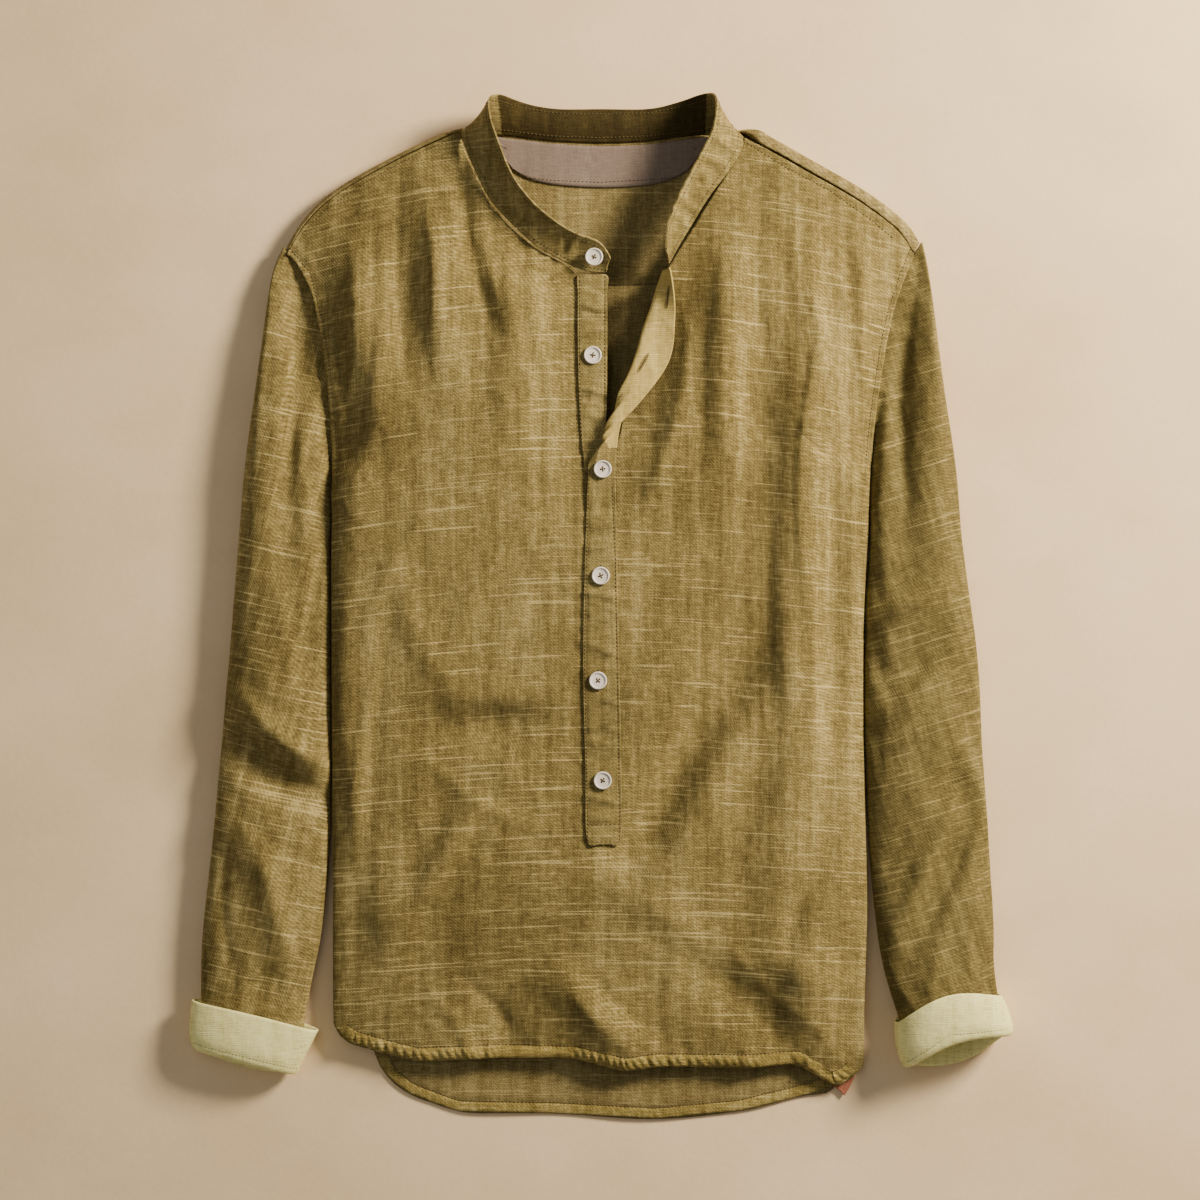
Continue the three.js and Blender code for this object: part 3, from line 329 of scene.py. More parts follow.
# Creases of the two sleeves
SLEEVE_CREASES = (
    Crease(-234, 250, -246, 60, -2.6, 5, -5, 0.2),
    Crease(-222, 226, -230, 90, 1.8, 5, -4),
    Crease(-250, 236, -262, 110, 1.5, 5, 3),
    Crease(-212, 110, -222, -20, -1.8, 5, -3),
    Crease(-240, 40, -232, -60, 1.6, 6, 3),
    Crease(-268, -66, -206, -118, 1.6, 5, 6, 0.3),
    Crease(-276, -84, -210, -140, -1.4, 5, 5),
    Crease(-280, -128, -222, -160, 1.4, 6, 4),
    Crease(-276, -150, -222, -190, -1.6, 5, 4),
    Crease(-262, -176, -238, -256, 1.6, 6, -4),
    Crease(-286, -196, -280, -270, -1.5, 5, 3),
    Crease(-268, -296, -230, -262, -1.9, 4.5, -3),
    Crease(-290, -286, -252, -268, 1.6, 4.5, 3),
    Crease(240, 250, 232, 80, -2.4, 5, 5, -0.2),
    Crease(226, 216, 220, 100, 1.8, 5, 3),
    Crease(252, 230, 258, 120, 1.5, 5, -3),
    Crease(208, 20, 264, 50, -1.9, 4.5, 4),
    Crease(208, -2, 268, 22, 1.6, 5, 4),
    Crease(208, -68, 258, -20, -2.2, 5, 5),
    Crease(214, -40, 270, 0, 1.5, 5, 4),
    Crease(212, -104, 280, -62, 2, 5, 5),
    Crease(262, -134, 284, -90, -1.8, 4.5, 3),
    Crease(284, -150, 232, -266, -2.4, 5, -6, 0.2),
    Crease(268, -144, 222, -236, 1.9, 5, -5),
    Crease(244, -150, 214, -210, -1.5, 5, 3),
    Crease(262, -236, 250, -290, 1.7, 5, 3),
    Crease(284, -220, 280, -280, 1.5, 5, 3),
)

# Seams and hems in plan
ARMHOLE_LEFT = (
    (-204, 98), (-204.6, 125), (-206.5, 157), (-210, 189), (-215.5, 220), (-224, 254), (-239, 272),
)
ARMHOLE_RIGHT = (
    (204.5, 98), (209, 146), (213.5, 178), (218, 206), (223, 228), (232, 255), (240, 274),
)
FRONT_HEM = (
    (-198, -324), (-190, -330), (-170, -336), (-140, -343.5), (-90, -341.5), (-20, -342), (18, -350.5),
    (43, -348), (113, -349), (150, -346), (166, -358), (177, -363), (189, -358), (196, -352),
)
BACK_HEM = (
    (-171, -342), (-167.5, -350), (-160, -360.5), (-146, -370.5), (-124, -379), (-109, -384),
    (-35, -385.5), (43, -389.5), (107, -383.5), (138, -376), (162, -370), (176, -364),
)
SHOULDER_RIGHT = ((110, 361), (137.8, 344.8), (176.2, 324.6), (208.2, 300), (225.2, 284.1), (236, 275))

# Puckers, a row for each seam
SEAM_PUCKERS = (
    Puckers(ARMHOLE_LEFT, 15, 17, 1.0, 2.6, 3),
    Puckers(ARMHOLE_RIGHT, 15, 17, 1.0, 2.6, 5),
    Puckers(tuple((x, y + 8) for x, y in FRONT_HEM), 46, 14, 1.2, 2.5, 7),
    Puckers(((-13, 94), (-15, 0), (-13, -90), (-12, -176)), 17, 15, 0.75, 3.0, 11, -7),
    Puckers(((12, 94), (14, 0), (16, -90), (16, -176)), 17, 15, 0.75, 3.0, 13, 7),
    Puckers(((-107, 350), (-85, 306), (-50, 272), (-12, 252)), 15, 15, 0.9, 2.6, 17, -7),
    Puckers(((106, 346), (80, 306), (58, 270)), 9, 15, 0.9, 2.6, 19, 7),
    Puckers(((-6, 112), (-6, 248)), 13, 20, 1.5, 2.8, 37),
    Puckers(((1, 84), (0, 20), (0, -60), (2, -166)), 26, 26, 1.35, 3.0, 41),
    Puckers(((-92, 372), (-76, 335), (-58, 305), (-32, 276), (-8, 267)), 24, 15, 1.6, 2.8, 43),
    Puckers(((98, 374), (88, 345), (66, 310), (54, 280)), 16, 15, 1.6, 2.8, 47),
    Puckers(SHOULDER_RIGHT, 14, 12, 0.7, 2.4, 23, -5),
    Puckers(((-300, -272), (-224, -296)), 9, 16, 1.0, 2.6, 29),
    Puckers(((300, -268), (218, -296)), 9, 16, 1.0, 2.6, 31),
)


def distances(points: np.ndarray) -> np.ndarray:
    """Gives how far along a line each of its points is.

    Args:
        points: Points in plan, a row for each.

    Returns:
        Distances from the first point, in the points' own unit.
    """
    return np.concatenate([[0], np.cumsum(np.hypot(*np.diff(points, axis=0).T))])


def crease_height(crease: Crease, x: np.ndarray, y: np.ndarray) -> np.ndarray:
    """Height of one crease over places in plan.

    Args:
        crease: The crease.
        x: Places along X in millimetres.
        y: Places along Y in millimetres.

    Returns:
        Height of the crease at each place, in millimetres.
    """
    dx, dy = crease.x1 - crease.x0, crease.y1 - crease.y0
    length = math.hypot(dx, dy)
    t = ((x - crease.x0) * dx + (y - crease.y0) * dy) / length**2
    across = ((x - crease.x0) * dy - (y - crease.y0) * dx) / length
    across = across - crease.bend * np.sin(np.pi * np.clip(t, 0, 1))
    wide = crease.width * (1 - crease.lean * np.sign(across))
    body = np.exp(-((across / wide) ** 2))
    past = np.maximum(0, np.maximum(-t, t - 1)) * length / (2.6 * crease.width)
    swell = 0.55 + 0.45 * np.sin(np.pi * np.clip(t, 0, 1))
    return crease.height * body * swell * np.exp(-(past**2))


def pucker_rows(group: Puckers) -> list[Crease]:
    """Works out a seam's puckers.

    Args:
        group: The seam's line and the size of its puckers.

    Returns:
        One crease for each pucker.
    """
    random = np.random.default_rng(group.seed)
    points = np.array(group.line, float)
    places = distances(points)
    rows = []
    for i in range(group.count):
        at = (i + 0.5 + random.uniform(-0.38, 0.38)) / group.count * places[-1]
        k = min(len(points) - 2, int(np.searchsorted(places, at) - 1))
        direction = (points[k + 1] - points[k]) / math.dist(points[k], points[k + 1])
        middle = points[k] + direction * (at - places[k])
        normal = np.array([direction[1], -direction[0]])
        tilt = normal + direction * random.uniform(-0.5, 0.5)
        middle = middle + normal * group.aside
        reach = group.reach * random.uniform(0.55, 1.35) / 2
        a, b = middle - tilt * reach, middle + tilt * reach
        height = group.height * random.uniform(0.45, 1.2) * (1 if i % 2 else -0.8)
        rows.append(Crease(*a, *b, height, group.width * random.uniform(0.8, 1.3)))
    return rows


def groove(line: tuple[tuple[float, float], ...], depth: float = 0.6, width: float = 1.9) -> list[Crease]:
    """Makes the groove that a row of topstitching draws into the cloth.

    Args:
        line: The row's line in plan.
        depth: Its depth in millimetres.
        width: Its width in millimetres.

    Returns:
        A trough for each stretch of the line.
    """
    return [Crease(*a, *b, -depth, width) for a, b in zip(line, line[1:])]


# Repeats of the fine crumple in millimetres along X and Y, as washed linen dries
CRUMPLE_BROAD = (34, 46)
CRUMPLE_WARP = 50
CRUMPLE_RIDGE = (19, 27)
CRUMPLE_SMALL = (8.5, 12)


def crumple(x: float, y: float) -> float:
    """Fine crumple of washed linen at a place in plan.

    Args:
        x: Place along X in millimetres.
        y: Place along Y in millimetres.

    Returns:
        Height in millimetres.
    """
    broad = noise.noise(Vector((x / CRUMPLE_BROAD[0], y / CRUMPLE_BROAD[1], 3.1)))
    warp = 9 * noise.noise(Vector((x / CRUMPLE_WARP, y / CRUMPLE_WARP, 8.7)))
    warped = Vector(((x + warp) / CRUMPLE_RIDGE[0], (y - warp) / CRUMPLE_RIDGE[1], 5.3))
    ridge = 1 - abs(noise.noise(warped)) * 2.4
    small = noise.noise(Vector((x / CRUMPLE_SMALL[0], y / CRUMPLE_SMALL[1], 1.9)))
    return 0.75 * broad + 0.5 * max(0.0, ridge) ** 2 + 0.22 * small


class NodeTree:
    """Short ways to add and link shader nodes."""

    def __init__(self, tree: bpy.types.NodeTree) -> None:
        """Takes the tree that the nodes go into."""
        self.tree = tree

    def add(self, kind: str, **settings: object) -> bpy.types.Node:
        """Adds a node and sets its properties or its fixed sockets by name.

        Args:
            kind: The node's type name.
            settings: Properties, or input sockets with _ for a space.

        Returns:
            The new node.
        """
        node = self.tree.nodes.new(kind)
        for key, value in settings.items():
            if hasattr(node, key):
                setattr(node, key, value)
            else:
                node.inputs[key.replace("_", " ")].default_value = value
        return node

    def link(self, a: bpy.types.NodeSocket, b: bpy.types.NodeSocket) -> None:
        """Links an output to an input.

        Args:
            a: Output socket.
            b: Input socket.
        """
        self.tree.links.new(a, b)

    def math(self, operation: str, a: object, b: object = 0.0) -> bpy.types.NodeSocket:
        """Adds a math node of two values or sockets.

        Args:
            operation: The math node's operation.
            a: First value or socket.
            b: Second value or socket.

        Returns:
            The result's socket.
        """
        node = self.tree.nodes.new("ShaderNodeMath")
        node.operation = operation
        for socket, value in zip(node.inputs, (a, b)):
            if isinstance(value, bpy.types.NodeSocket):
                self.link(value, socket)
            else:
                socket.default_value = value
        return node.outputs[0]

    def bowed(self, coords: bpy.types.NodeSocket, share: float) -> bpy.types.NodeSocket:
        """Lets the weft fall towards both sides, most at the chest, as on a spread shirt.

        Args:
            coords: Coordinates in metres.
            share: Share of the fall.

        Returns:
            Coordinates whose Y follows the weft.
        """
        parts = self.add("ShaderNodeSeparateXYZ")
        self.link(coords, parts.inputs[0])
        depth = self.math("ADD", self.math("MULTIPLY", parts.outputs["Y"], 0.7 * share), 0.38 * share)
        fall = self.math("MULTIPLY", self.math("MULTIPLY", parts.outputs["X"], parts.outputs["X"]), depth)
        whole = self.add("ShaderNodeCombineXYZ")
        self.link(parts.outputs["X"], whole.inputs["X"])
        self.link(self.math("ADD", parts.outputs["Y"], fall), whole.inputs["Y"])
        self.link(parts.outputs["Z"], whole.inputs["Z"])
        return whole.outputs[0]

    def streaks(
        self, coords: bpy.types.NodeSocket, scale: tuple[float, float], seed: float, detail: float,
    ) -> bpy.types.NodeSocket:
        """Noise drawn out along one axis, for yarns and slubs.

        Args:
            coords: Coordinates in metres.
            scale: Repeats per metre along X and Y.
            seed: Offset that tells one set from another.
            detail: Octaves of the noise.

        Returns:
            The noise's value socket.
        """
        mapping = self.add("ShaderNodeMapping")
        mapping.inputs["Scale"].default_value = (scale[0], scale[1], 40)
        mapping.inputs["Location"].default_value = (seed, seed * 1.7, seed * 0.6)
        self.link(coords, mapping.inputs["Vector"])
        node = self.add("ShaderNodeTexNoise", Scale=1.0, Detail=detail, Roughness=0.55)
        self.link(mapping.outputs[0], node.inputs["Vector"])
        return node.outputs[0]

    def ramp(
        self, value: bpy.types.NodeSocket, stops: tuple[tuple[float, str], ...],
    ) -> bpy.types.NodeSocket:
        """Colours a value.

        Args:
            value: Value from 0 to 1.
            stops: Places and hex colours.

        Returns:
            The colour's socket.
        """
        node = self.add("ShaderNodeValToRGB")
        ramp = node.color_ramp
        while len(ramp.elements) < len(stops):
            ramp.elements.new(0.5)
        for element, (place, colour) in zip(ramp.elements, stops):
            element.position = place
            element.color = linear(colour)
        self.link(value, node.inputs[0])
        return node.outputs[0]


# Repeats per metre along X and Y of each pattern of the weave. Real yarns stand about 0.5 mm apart,
# too fine for the render, so the weft is drawn 1.0 mm and the warp 1.1 mm apart.
WEFT = (130, 1000)
WARP = (900, 110)
SLUBS = (14, 520)  # thick places about 70 mm long and 2 mm apart, of which the strongest show
STRIPES = (130, 5)  # warp stripes 8 mm apart, from uneven dyeing
PATCHES = (13, 11)  # washed-out patches about 80 mm across
TWILL = 225.0  # diagonal ribs, drawn about 2 mm apart, and rows of 1.4 mm on the wrong side
CRUSH = (80, 60)  # soft crumple of 12 to 17 mm
SLUB_LEVEL = 0.6  # the noise above this is a slub


def cloth_material(finish: Finish) -> bpy.types.Material:
    """Makes a woven linen with slubs, a faint twill and washed-out patches.

    Args:
        finish: Colours and surface of the cloth.

    Returns:
        The material.
    """
    material = bpy.data.materials.new(finish.name)
    material.use_nodes = True
    nodes = NodeTree(material.node_tree)
    shader = nodes.tree.nodes["Principled BSDF"]
    shader.inputs["Roughness"].default_value = finish.roughness
    shader.inputs["Sheen Weight"].default_value = finish.sheen
    shader.inputs["Sheen Roughness"].default_value = 0.45
    shader.inputs["Sheen Tint"].default_value = linear(finish.light)
    shader.inputs["Specular IOR Level"].default_value = 0.2
    place = nodes.add("ShaderNodeTexCoord")
    turned = nodes.add("ShaderNodeMapping")
    turned.inputs["Rotation"].default_value = (0, 0, math.radians(finish.turn))
    nodes.link(place.outputs["Object"], turned.inputs["Vector"])
    grain = nodes.bowed(turned.outputs[0], finish.bow) if finish.bow else turned.outputs[0]
    weft = nodes.streaks(grain, WEFT, 3.0, 2)
    warp = nodes.streaks(grain, WARP, 7.0, 2)
    thread = nodes.streaks(grain, SLUBS, 11.0, 1)
    stripe = nodes.streaks(grain, STRIPES, 31.0, 2)
    patch = nodes.streaks(grain, PATCHES, 19.0, 3)
    # Slubs are thin and far apart: only the peaks of the drawn-out noise
    peak = nodes.math("MAXIMUM", nodes.math("SUBTRACT", thread, SLUB_LEVEL), 0.0)
    slub = nodes.math("MULTIPLY", peak, 8.0)
    slub = nodes.math("MINIMUM", slub, 1.0)
    twill = nodes.add("ShaderNodeTexWave", Scale=TWILL, Distortion=1.8, Detail=1.0, Detail_Scale=2.0)
    twill.wave_type = "BANDS"
    twill.bands_direction = "DIAGONAL"
    if finish.face is Side.WRONG:
        twill.bands_direction = "Y"
    nodes.link(grain, twill.inputs["Vector"])
    yarn = nodes.math("ADD", nodes.math("MULTIPLY", weft, 0.34), nodes.math("MULTIPLY", warp, 0.24))
    cloud = nodes.math("ADD", nodes.math("MULTIPLY", stripe, 0.25), nodes.math("MULTIPLY", patch, 0.24))
    tone = nodes.math("ADD", yarn, cloud)
    tone = nodes.math("ADD", tone, nodes.math("MULTIPLY", slub, 0.16 * finish.slub))
    tone = nodes.math("ADD", tone, nodes.math("MULTIPLY", twill.outputs["Fac"], 0.065))
    stops = ((0.42, finish.dark), (0.58, finish.middle), (0.76, finish.light))
    nodes.link(nodes.ramp(tone, stops), shader.inputs["Base Color"])
    # Yarns, slubs and twill as relief
    raised = nodes.math("ADD", nodes.math("MULTIPLY", weft, 0.4), nodes.math("MULTIPLY", warp, 0.35))
    raised = nodes.math("ADD", raised, nodes.math("MULTIPLY", slub, 0.35 * finish.slub))
    raised = nodes.math("ADD", raised, nodes.math("MULTIPLY", twill.outputs["Fac"], 0.2))
    bump = nodes.add("ShaderNodeBump", Strength=0.4 * finish.bump, Distance=0.0006)
    nodes.link(raised, bump.inputs["Height"])
    # A soft crumple under the yarns
    crush = nodes.streaks(grain, CRUSH, 23.0, 4)
    soft = nodes.add("ShaderNodeBump", Strength=0.5 * finish.bump, Distance=0.0014)
    nodes.link(crush, soft.inputs["Height"])
    nodes.link(soft.outputs[0], bump.inputs["Normal"])
    nodes.link(bump.outputs[0], shader.inputs["Normal"])
    return material


def plain_material(name: str, colour: str, roughness: float, spread: float = 0.0) -> bpy.types.Material:
    """Makes a smooth material with slight tone changes.

    Args:
        name: Its name.
        colour: Hex colour.
        roughness: Surface roughness.
        spread: How far the tone varies, from 0 to 1.

    Returns:
        The material.
    """
    material = bpy.data.materials.new(name)
    material.use_nodes = True
    nodes = NodeTree(material.node_tree)
    shader = nodes.tree.nodes["Principled BSDF"]
    shader.inputs["Roughness"].default_value = roughness
    place = nodes.add("ShaderNodeTexCoord")
    tone = nodes.streaks(place.outputs["Object"], (130, 130), 2.0, 3)
    mix = nodes.add("ShaderNodeMix", data_type="RGBA", blend_type="MULTIPLY", A=linear(colour))
    mix.inputs["Factor"].default_value = spread
    nodes.link(nodes.ramp(tone, ((0.3, "8f8a84"), (0.62, "ffffff"))), mix.inputs["B"])
    nodes.link(mix.outputs["Result"], shader.inputs["Base Color"])
    return material


class Surface:
    """The dressed pieces as one surface to drop lines and small parts onto."""

    def __init__(self, objects: dict[str, bpy.types.Object]) -> None:
        """Makes a search tree for each named piece."""
        self.trees = {name: self._tree(o) for name, o in objects.items()}

    @staticmethod
    def _tree(piece: bpy.types.Object) -> BVHTree:
        """Makes the search tree of a piece's faces."""
        mesh = piece.data
        return BVHTree.FromPolygons([v.co for v in mesh.vertices], [p.vertices for p in mesh.polygons])

    def drop(self, x: float, y: float, names: tuple[str, ...]) -> tuple[Vector, Vector] | None:
        """Finds the highest point of some pieces over a place.

        Args:
            x: Place along X in metres.
            y: Place along Y in metres.
            names: The pieces looked at.

        Returns:
            Point and normal, or None where no piece lies below.
        """
        best = None
        for name in names:
            hit, normal, _, _ = self.trees[name].ray_cast(Vector((x, y, 0.2)), Vector((0, 0, -1)))
            if hit is not None and (best is None or hit.z > best[0].z):
                best = (hit, normal)
        return best


def put(name: str, data: bpy.types.ID) -> bpy.types.Object:
    """Puts a new object in the scene, at the origin.

    Args:
        name: Its name.
        data: Its mesh, light or camera.

    Returns:
        The object.
    """
    piece = bpy.data.objects.new(name, data)
    bpy.context.scene.collection.objects.link(piece)
    return piece


def coordinates(mesh: bpy.types.Mesh) -> np.ndarray:
    """Gives a mesh's points.

    Args:
        mesh: The mesh.

    Returns:
        A row of X, Y and Z in metres for each point.
    """
    points = np.empty(len(mesh.vertices) * 3)
    mesh.vertices.foreach_get("co", points)
    return points.reshape(-1, 3)


def relief(points: np.ndarray, creases: list[Crease], amount: float, crush: float) -> np.ndarray:
    """How far points move up or down for creases and crumple.

    Args:
        points: Places in metres, a row for each.
        creases: The creases.
        amount: Share of the creases.
        crush: Share of the crumple.

    Returns:
        Heights in metres.
    """
    x, y = points[:, 0] / MM, points[:, 1] / MM
    height = np.zeros(len(x))
    for crease in creases:
        near = 5.2 * crease.width + abs(crease.bend) + 3
        low_x, high_x = sorted((crease.x0, crease.x1))
        low_y, high_y = sorted((crease.y0, crease.y1))
        close = (x > low_x - near) & (x < high_x + near) & (y > low_y - near) & (y < high_y + near)
        if close.any():
            height[close] += crease_height(crease, x[close], y[close])
    fine = np.array([crumple(a, b) for a, b in zip(x, y)]) if crush else 0.0
    return (amount * height + crush * fine) * MM


# The cloth is still within this many millimetres of a button's centre, and free this much further out
BUTTON_STILL = 6
BUTTON_EASE = 14


def stillness(points: np.ndarray, places: list[tuple[float, float]]) -> np.ndarray:
    """Share of the relief that points keep: the cloth lies still where a button holds it.

    Args:
        points: Places in metres, a row for each.
        places: Centres of the buttons in metres.

    Returns:
        A share from 0 to 1 for each point.
    """
    share = np.ones(len(points))
    for x, y in places:
        far = np.hypot(points[:, 0] - x, points[:, 1] - y) / MM
        share *= smooth((far - BUTTON_STILL) / BUTTON_EASE)
    return share


# Where the hem's roll has its points across, as shares of its width, and other sizes of it in mm
HEM_SHARES = (0.0, 0.08, 0.22, 0.38, 0.54, 0.7, 0.84, 0.94, 1.0)
HEM_STEP = 0.9
HEM_SET_BACK = 0.3
HEM_TAPER = 9
HEM_SUNK = 0.2  # its sides lie this far in the cloth
HEM_THICK = 0.9
HEM_FLOOR = 0.1  # nothing of it is lower


@dataclass
class Shirt:
    """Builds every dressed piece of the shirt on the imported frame. Sizes are in millimetres."""

    frame: dict
    panels: tuple[Panel, ...]
    looks: dict[str, bpy.types.Material]
    rim: float = 1.55  # narrower faces are the cut edge of a wall
    give: float = 3.0  # how far a point may move in one step as the shell is fitted
    laid: float = 4.0  # what is lower lies on the surface and stays
    rise: float = 7.0  # over this height above that, the creases reach their full depth
    pieces: dict[str, bpy.types.Object] = field(default_factory=dict)

    def __post_init__(self) -> None:
        """Finds the buttons and works out every crease."""
        corners = [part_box(f"button_{number}") for number in range(1, 7)]
        self.buttons = [((low.x + high.x) / 2, (low.y + high.y) / 2) for low, high in corners]
        seams = [c for group in SEAM_PUCKERS for c in pucker_rows(group)]
        seams += [c for run in RUNS for c in groove(run.line)]
        self.creases = {
            "body": [*BODY_FOLDS, *BODY_CREASES, *seams],
            "sleeve": [*SLEEVE_FOLDS, *SLEEVE_CREASES, *seams],
        }

    def build(self) -> None:
        for panel in self.panels:
            piece = self.shell(panel)
            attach(piece, ROOT)
            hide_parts(panel.node)
            list(panel.rests_on)
            self.pieces[panel.node] = piece
            LOG.info("%s: %d faces", panel.node, len(piece.data.polygons))

    def shell(self, panel: Panel) -> bpy.types.Object:
        """Makes one piece's fine shell from its solid.

        Args:
            panel: The piece.

        Returns:
            The new object, at the origin.
        """
        mesh = self.frame["nodes"][panel.node].data.copy()
        mesh.name = "cloth_" + panel.node
        piece = put("cloth_" + panel.node, mesh)
        self.prepare(mesh)
        modifier = piece.modifiers.new("fine", "SUBSURF")
        modifier.levels = modifier.render_levels = panel.levels
        modifier.use_limit_surface = False
        wanted = coordinates(mesh)
        held = wanted.copy()
        for _ in range(3):
            off = wanted - coordinates(self.evaluated(piece))[: len(wanted)]
            held += np.clip(off, -self.give * MM, self.give * MM)
            mesh.vertices.foreach_set("co", held.ravel())
            mesh.update()
        fine = self.evaluated(piece)
        piece.modifiers.clear()
        piece.data = fine
        if panel.finer:
            self.refine(fine)
        self.shape(fine, panel)
        fine.materials.clear()
        fine.materials.append(self.looks[panel.finish])
        fine.materials.append(self.looks[panel.edge or panel.finish])
        # A third look: the cloth's wrong side on the flap, and painted shade inside the back of the collar
        # band
        if panel.node in WRONG_SIDES_AND_PAINTED_SHADE:
            fine.materials.append(self.looks[WRONG_SIDES_AND_PAINTED_SHADE[panel.node].finish])
            self.show_wrong_side_or_painted_shade(fine, WRONG_SIDES_AND_PAINTED_SHADE[panel.node])
        for hem in HEMS:
            if hem.node == panel.node:
                fine.materials.append(self.looks["linen_hem"])
                self.add_hem(piece, hem)
        fine.polygons.foreach_set("use_smooth", [True] * len(fine.polygons))
        return piece

    @staticmethod
    def evaluated(piece: bpy.types.Object) -> bpy.types.Mesh:
        """Gives a piece's mesh with its modifiers worked out.

        Args:
            piece: The piece.

        Returns:
            A new mesh.
        """
        bpy.context.view_layer.update()
        depsgraph = bpy.context.evaluated_depsgraph_get()
        return bpy.data.meshes.new_from_object(piece.evaluated_get(depsgraph))

    @staticmethod
    def refine(mesh: bpy.types.Mesh) -> None:
        """Halves the faces that look up, so that puckers have enough points.

        Args:
            mesh: The piece's fine mesh.
        """
        form = bmesh.new()
        form.from_mesh(mesh)
        form.normal_update()
        upper = [f for f in form.faces if f.normal.z > 0.25 and f.calc_center_median().z > 5 * MM]
        edges = list(dict.fromkeys(e for f in upper for e in f.edges))
        made = bmesh.ops.subdivide_edges(form, edges=edges, cuts=1, use_grid_fill=True)
        fresh = [v for v in made["geom_inner"] if isinstance(v, bmesh.types.BMVert)]
        bmesh.ops.smooth_vert(form, verts=fresh, factor=0.35, use_axis_z=True)
        form.to_mesh(mesh)
        form.free()

    def prepare(self, mesh: bpy.types.Mesh) -> None:
        """Welds a solid's mesh, makes quads of its triangles and keeps its cut edges crisp.

        Args:
            mesh: Copy of the solid's mesh.
        """
        form = bmesh.new()
        form.from_mesh(mesh)
        bmesh.ops.remove_doubles(form, verts=form.verts, dist=1e-5)
        bmesh.ops.join_triangles(
            form, faces=form.faces, angle_face_threshold=math.radians(50),
            angle_shape_threshold=math.radians(75), cmp_seam=False, cmp_sharp=False, cmp_uvs=False,
            cmp_vcols=False, cmp_materials=False,
        )
        crease = form.edges.layers.float.new("crease_edge")
        thin = {}
        for face in form.faces:
            width = face.calc_area() / max(e.calc_length() for e in face.edges)
            thin[face] = width < self.rim * MM
            # Thin faces are the walls' cut edges; their edge look is mostly a pale painted highlight
            face.material_index = 1 if thin[face] else 0
        for edge in form.edges:
            sides = [thin[f] for f in edge.link_faces]
            edge[crease] = 1.0 if any(sides) and not all(sides) else 0.0
        form.to_mesh(mesh)
        form.free()

    def shape(self, mesh: bpy.types.Mesh, panel: Panel) -> None:
        """Adds the creases and the crumple to a fine mesh.

        Args:
            mesh: The piece's mesh.
            panel: The piece.
        """
        points = coordinates(mesh)
        creases = self.creases["sleeve" if panel.node.startswith(("sleeve", "cuff")) else "body"]
        lift = relief(points, creases, panel.creased, panel.crumple) * stillness(points, self.buttons)
        # What lies on the surface stays there, and the walls' sides take less
        upper = smooth((points[:, 2] - self.laid * MM) / (self.rise * MM))
        points[:, 2] = np.maximum(points[:, 2] + lift * upper, 0.0)
        mesh.vertices.foreach_set("co", points.ravel())
        mesh.update()

    def add_hem(self, piece: bpy.types.Object, hem: Hem) -> None:
        """Adds a turned hem to a piece's own mesh, as one closed roll.

        Args:
            piece: The piece.
            hem: Its hem.
        """
        surface = Surface({hem.node: piece})
        line = np.array(hem.line, float)
        places = distances(line)
        along = np.linspace(0, places[-1], int(places[-1] / HEM_STEP))
        path = np.stack([np.interp(along, places, line[:, k]) for k in (0, 1)], 1)
        soft = np.ones(9) / 9
        path = np.stack([np.convolve(np.pad(path[:, k], 4, "edge"), soft, "valid") for k in (0, 1)], 1)
        direction = np.gradient(path, axis=0)
        direction /= np.linalg.norm(direction, axis=1)[:, None]
        form = bmesh.new()
        form.from_mesh(piece.data)
        rings, fresh = [], []
        for s, (x, y), (dx, dy) in zip(along, path, direction):
            ring = []
            for share in HEM_SHARES:
                inwards = HEM_SET_BACK + share * hem.width
                found = surface.drop((x - inwards * dy) * MM, (y + inwards * dx) * MM, (hem.node,))
                if found is None:
                    break
                phase = s / hem.pitch + 0.8 * share + 0.45 * math.sin(s / 17)
                turn = (0.5 + 0.5 * math.sin(2 * math.pi * phase)) ** 1.3
                rope = hem.rope * (0.75 + 0.25 * math.sin(s / 29))
                end = min(1.0, s / HEM_TAPER, (places[-1] - s) / HEM_TAPER)
                lift = end * hem.height * math.sin(math.pi * share) ** hem.square * (1 - rope * turn)
                rise = lift if 0 < share < 1 else -HEM_SUNK
                ring.append(found[0] + Vector((0, 0, rise * MM)))
            if len(ring) == len(HEM_SHARES):
                down = Vector((0, 0, HEM_THICK * MM))
                whole = (*ring, ring[-2] - down, ring[1] - down)
                rings.append([form.verts.new((p.x, p.y, max(p.z, HEM_FLOOR * MM))) for p in whole])
        for low, high in zip(rings, rings[1:]):
            for k in range(len(low)):
                n = (k + 1) % len(low)
                fresh.append(form.faces.new((low[k], low[n], high[n], high[k])))
        fresh += [form.faces.new(rings[0]), form.faces.new(rings[-1][::-1])]
        for face in fresh:
            face.material_index = 2
        bmesh.ops.recalc_face_normals(form, faces=fresh)
        form.to_mesh(piece.data)
        form.free()

    @staticmethod
    def show_wrong_side_or_painted_shade(mesh: bpy.types.Mesh, test: WrongSideOrPaintedShade) -> None:
        """Gives their own look to the faces that show the cloth's wrong side, and to those of the collar
        band that get a painted shade.

        Args:
            mesh: The piece's mesh.
            test: Where the other look goes.
        """
        for face in mesh.polygons:
            x, y = face.center.x / MM, face.center.y / MM
            if face.material_index or face.normal.z < 0 or not test.low_y < y < test.high_y:
                continue
            if test.edge(y) < x < test.right:
                face.material_index = 2


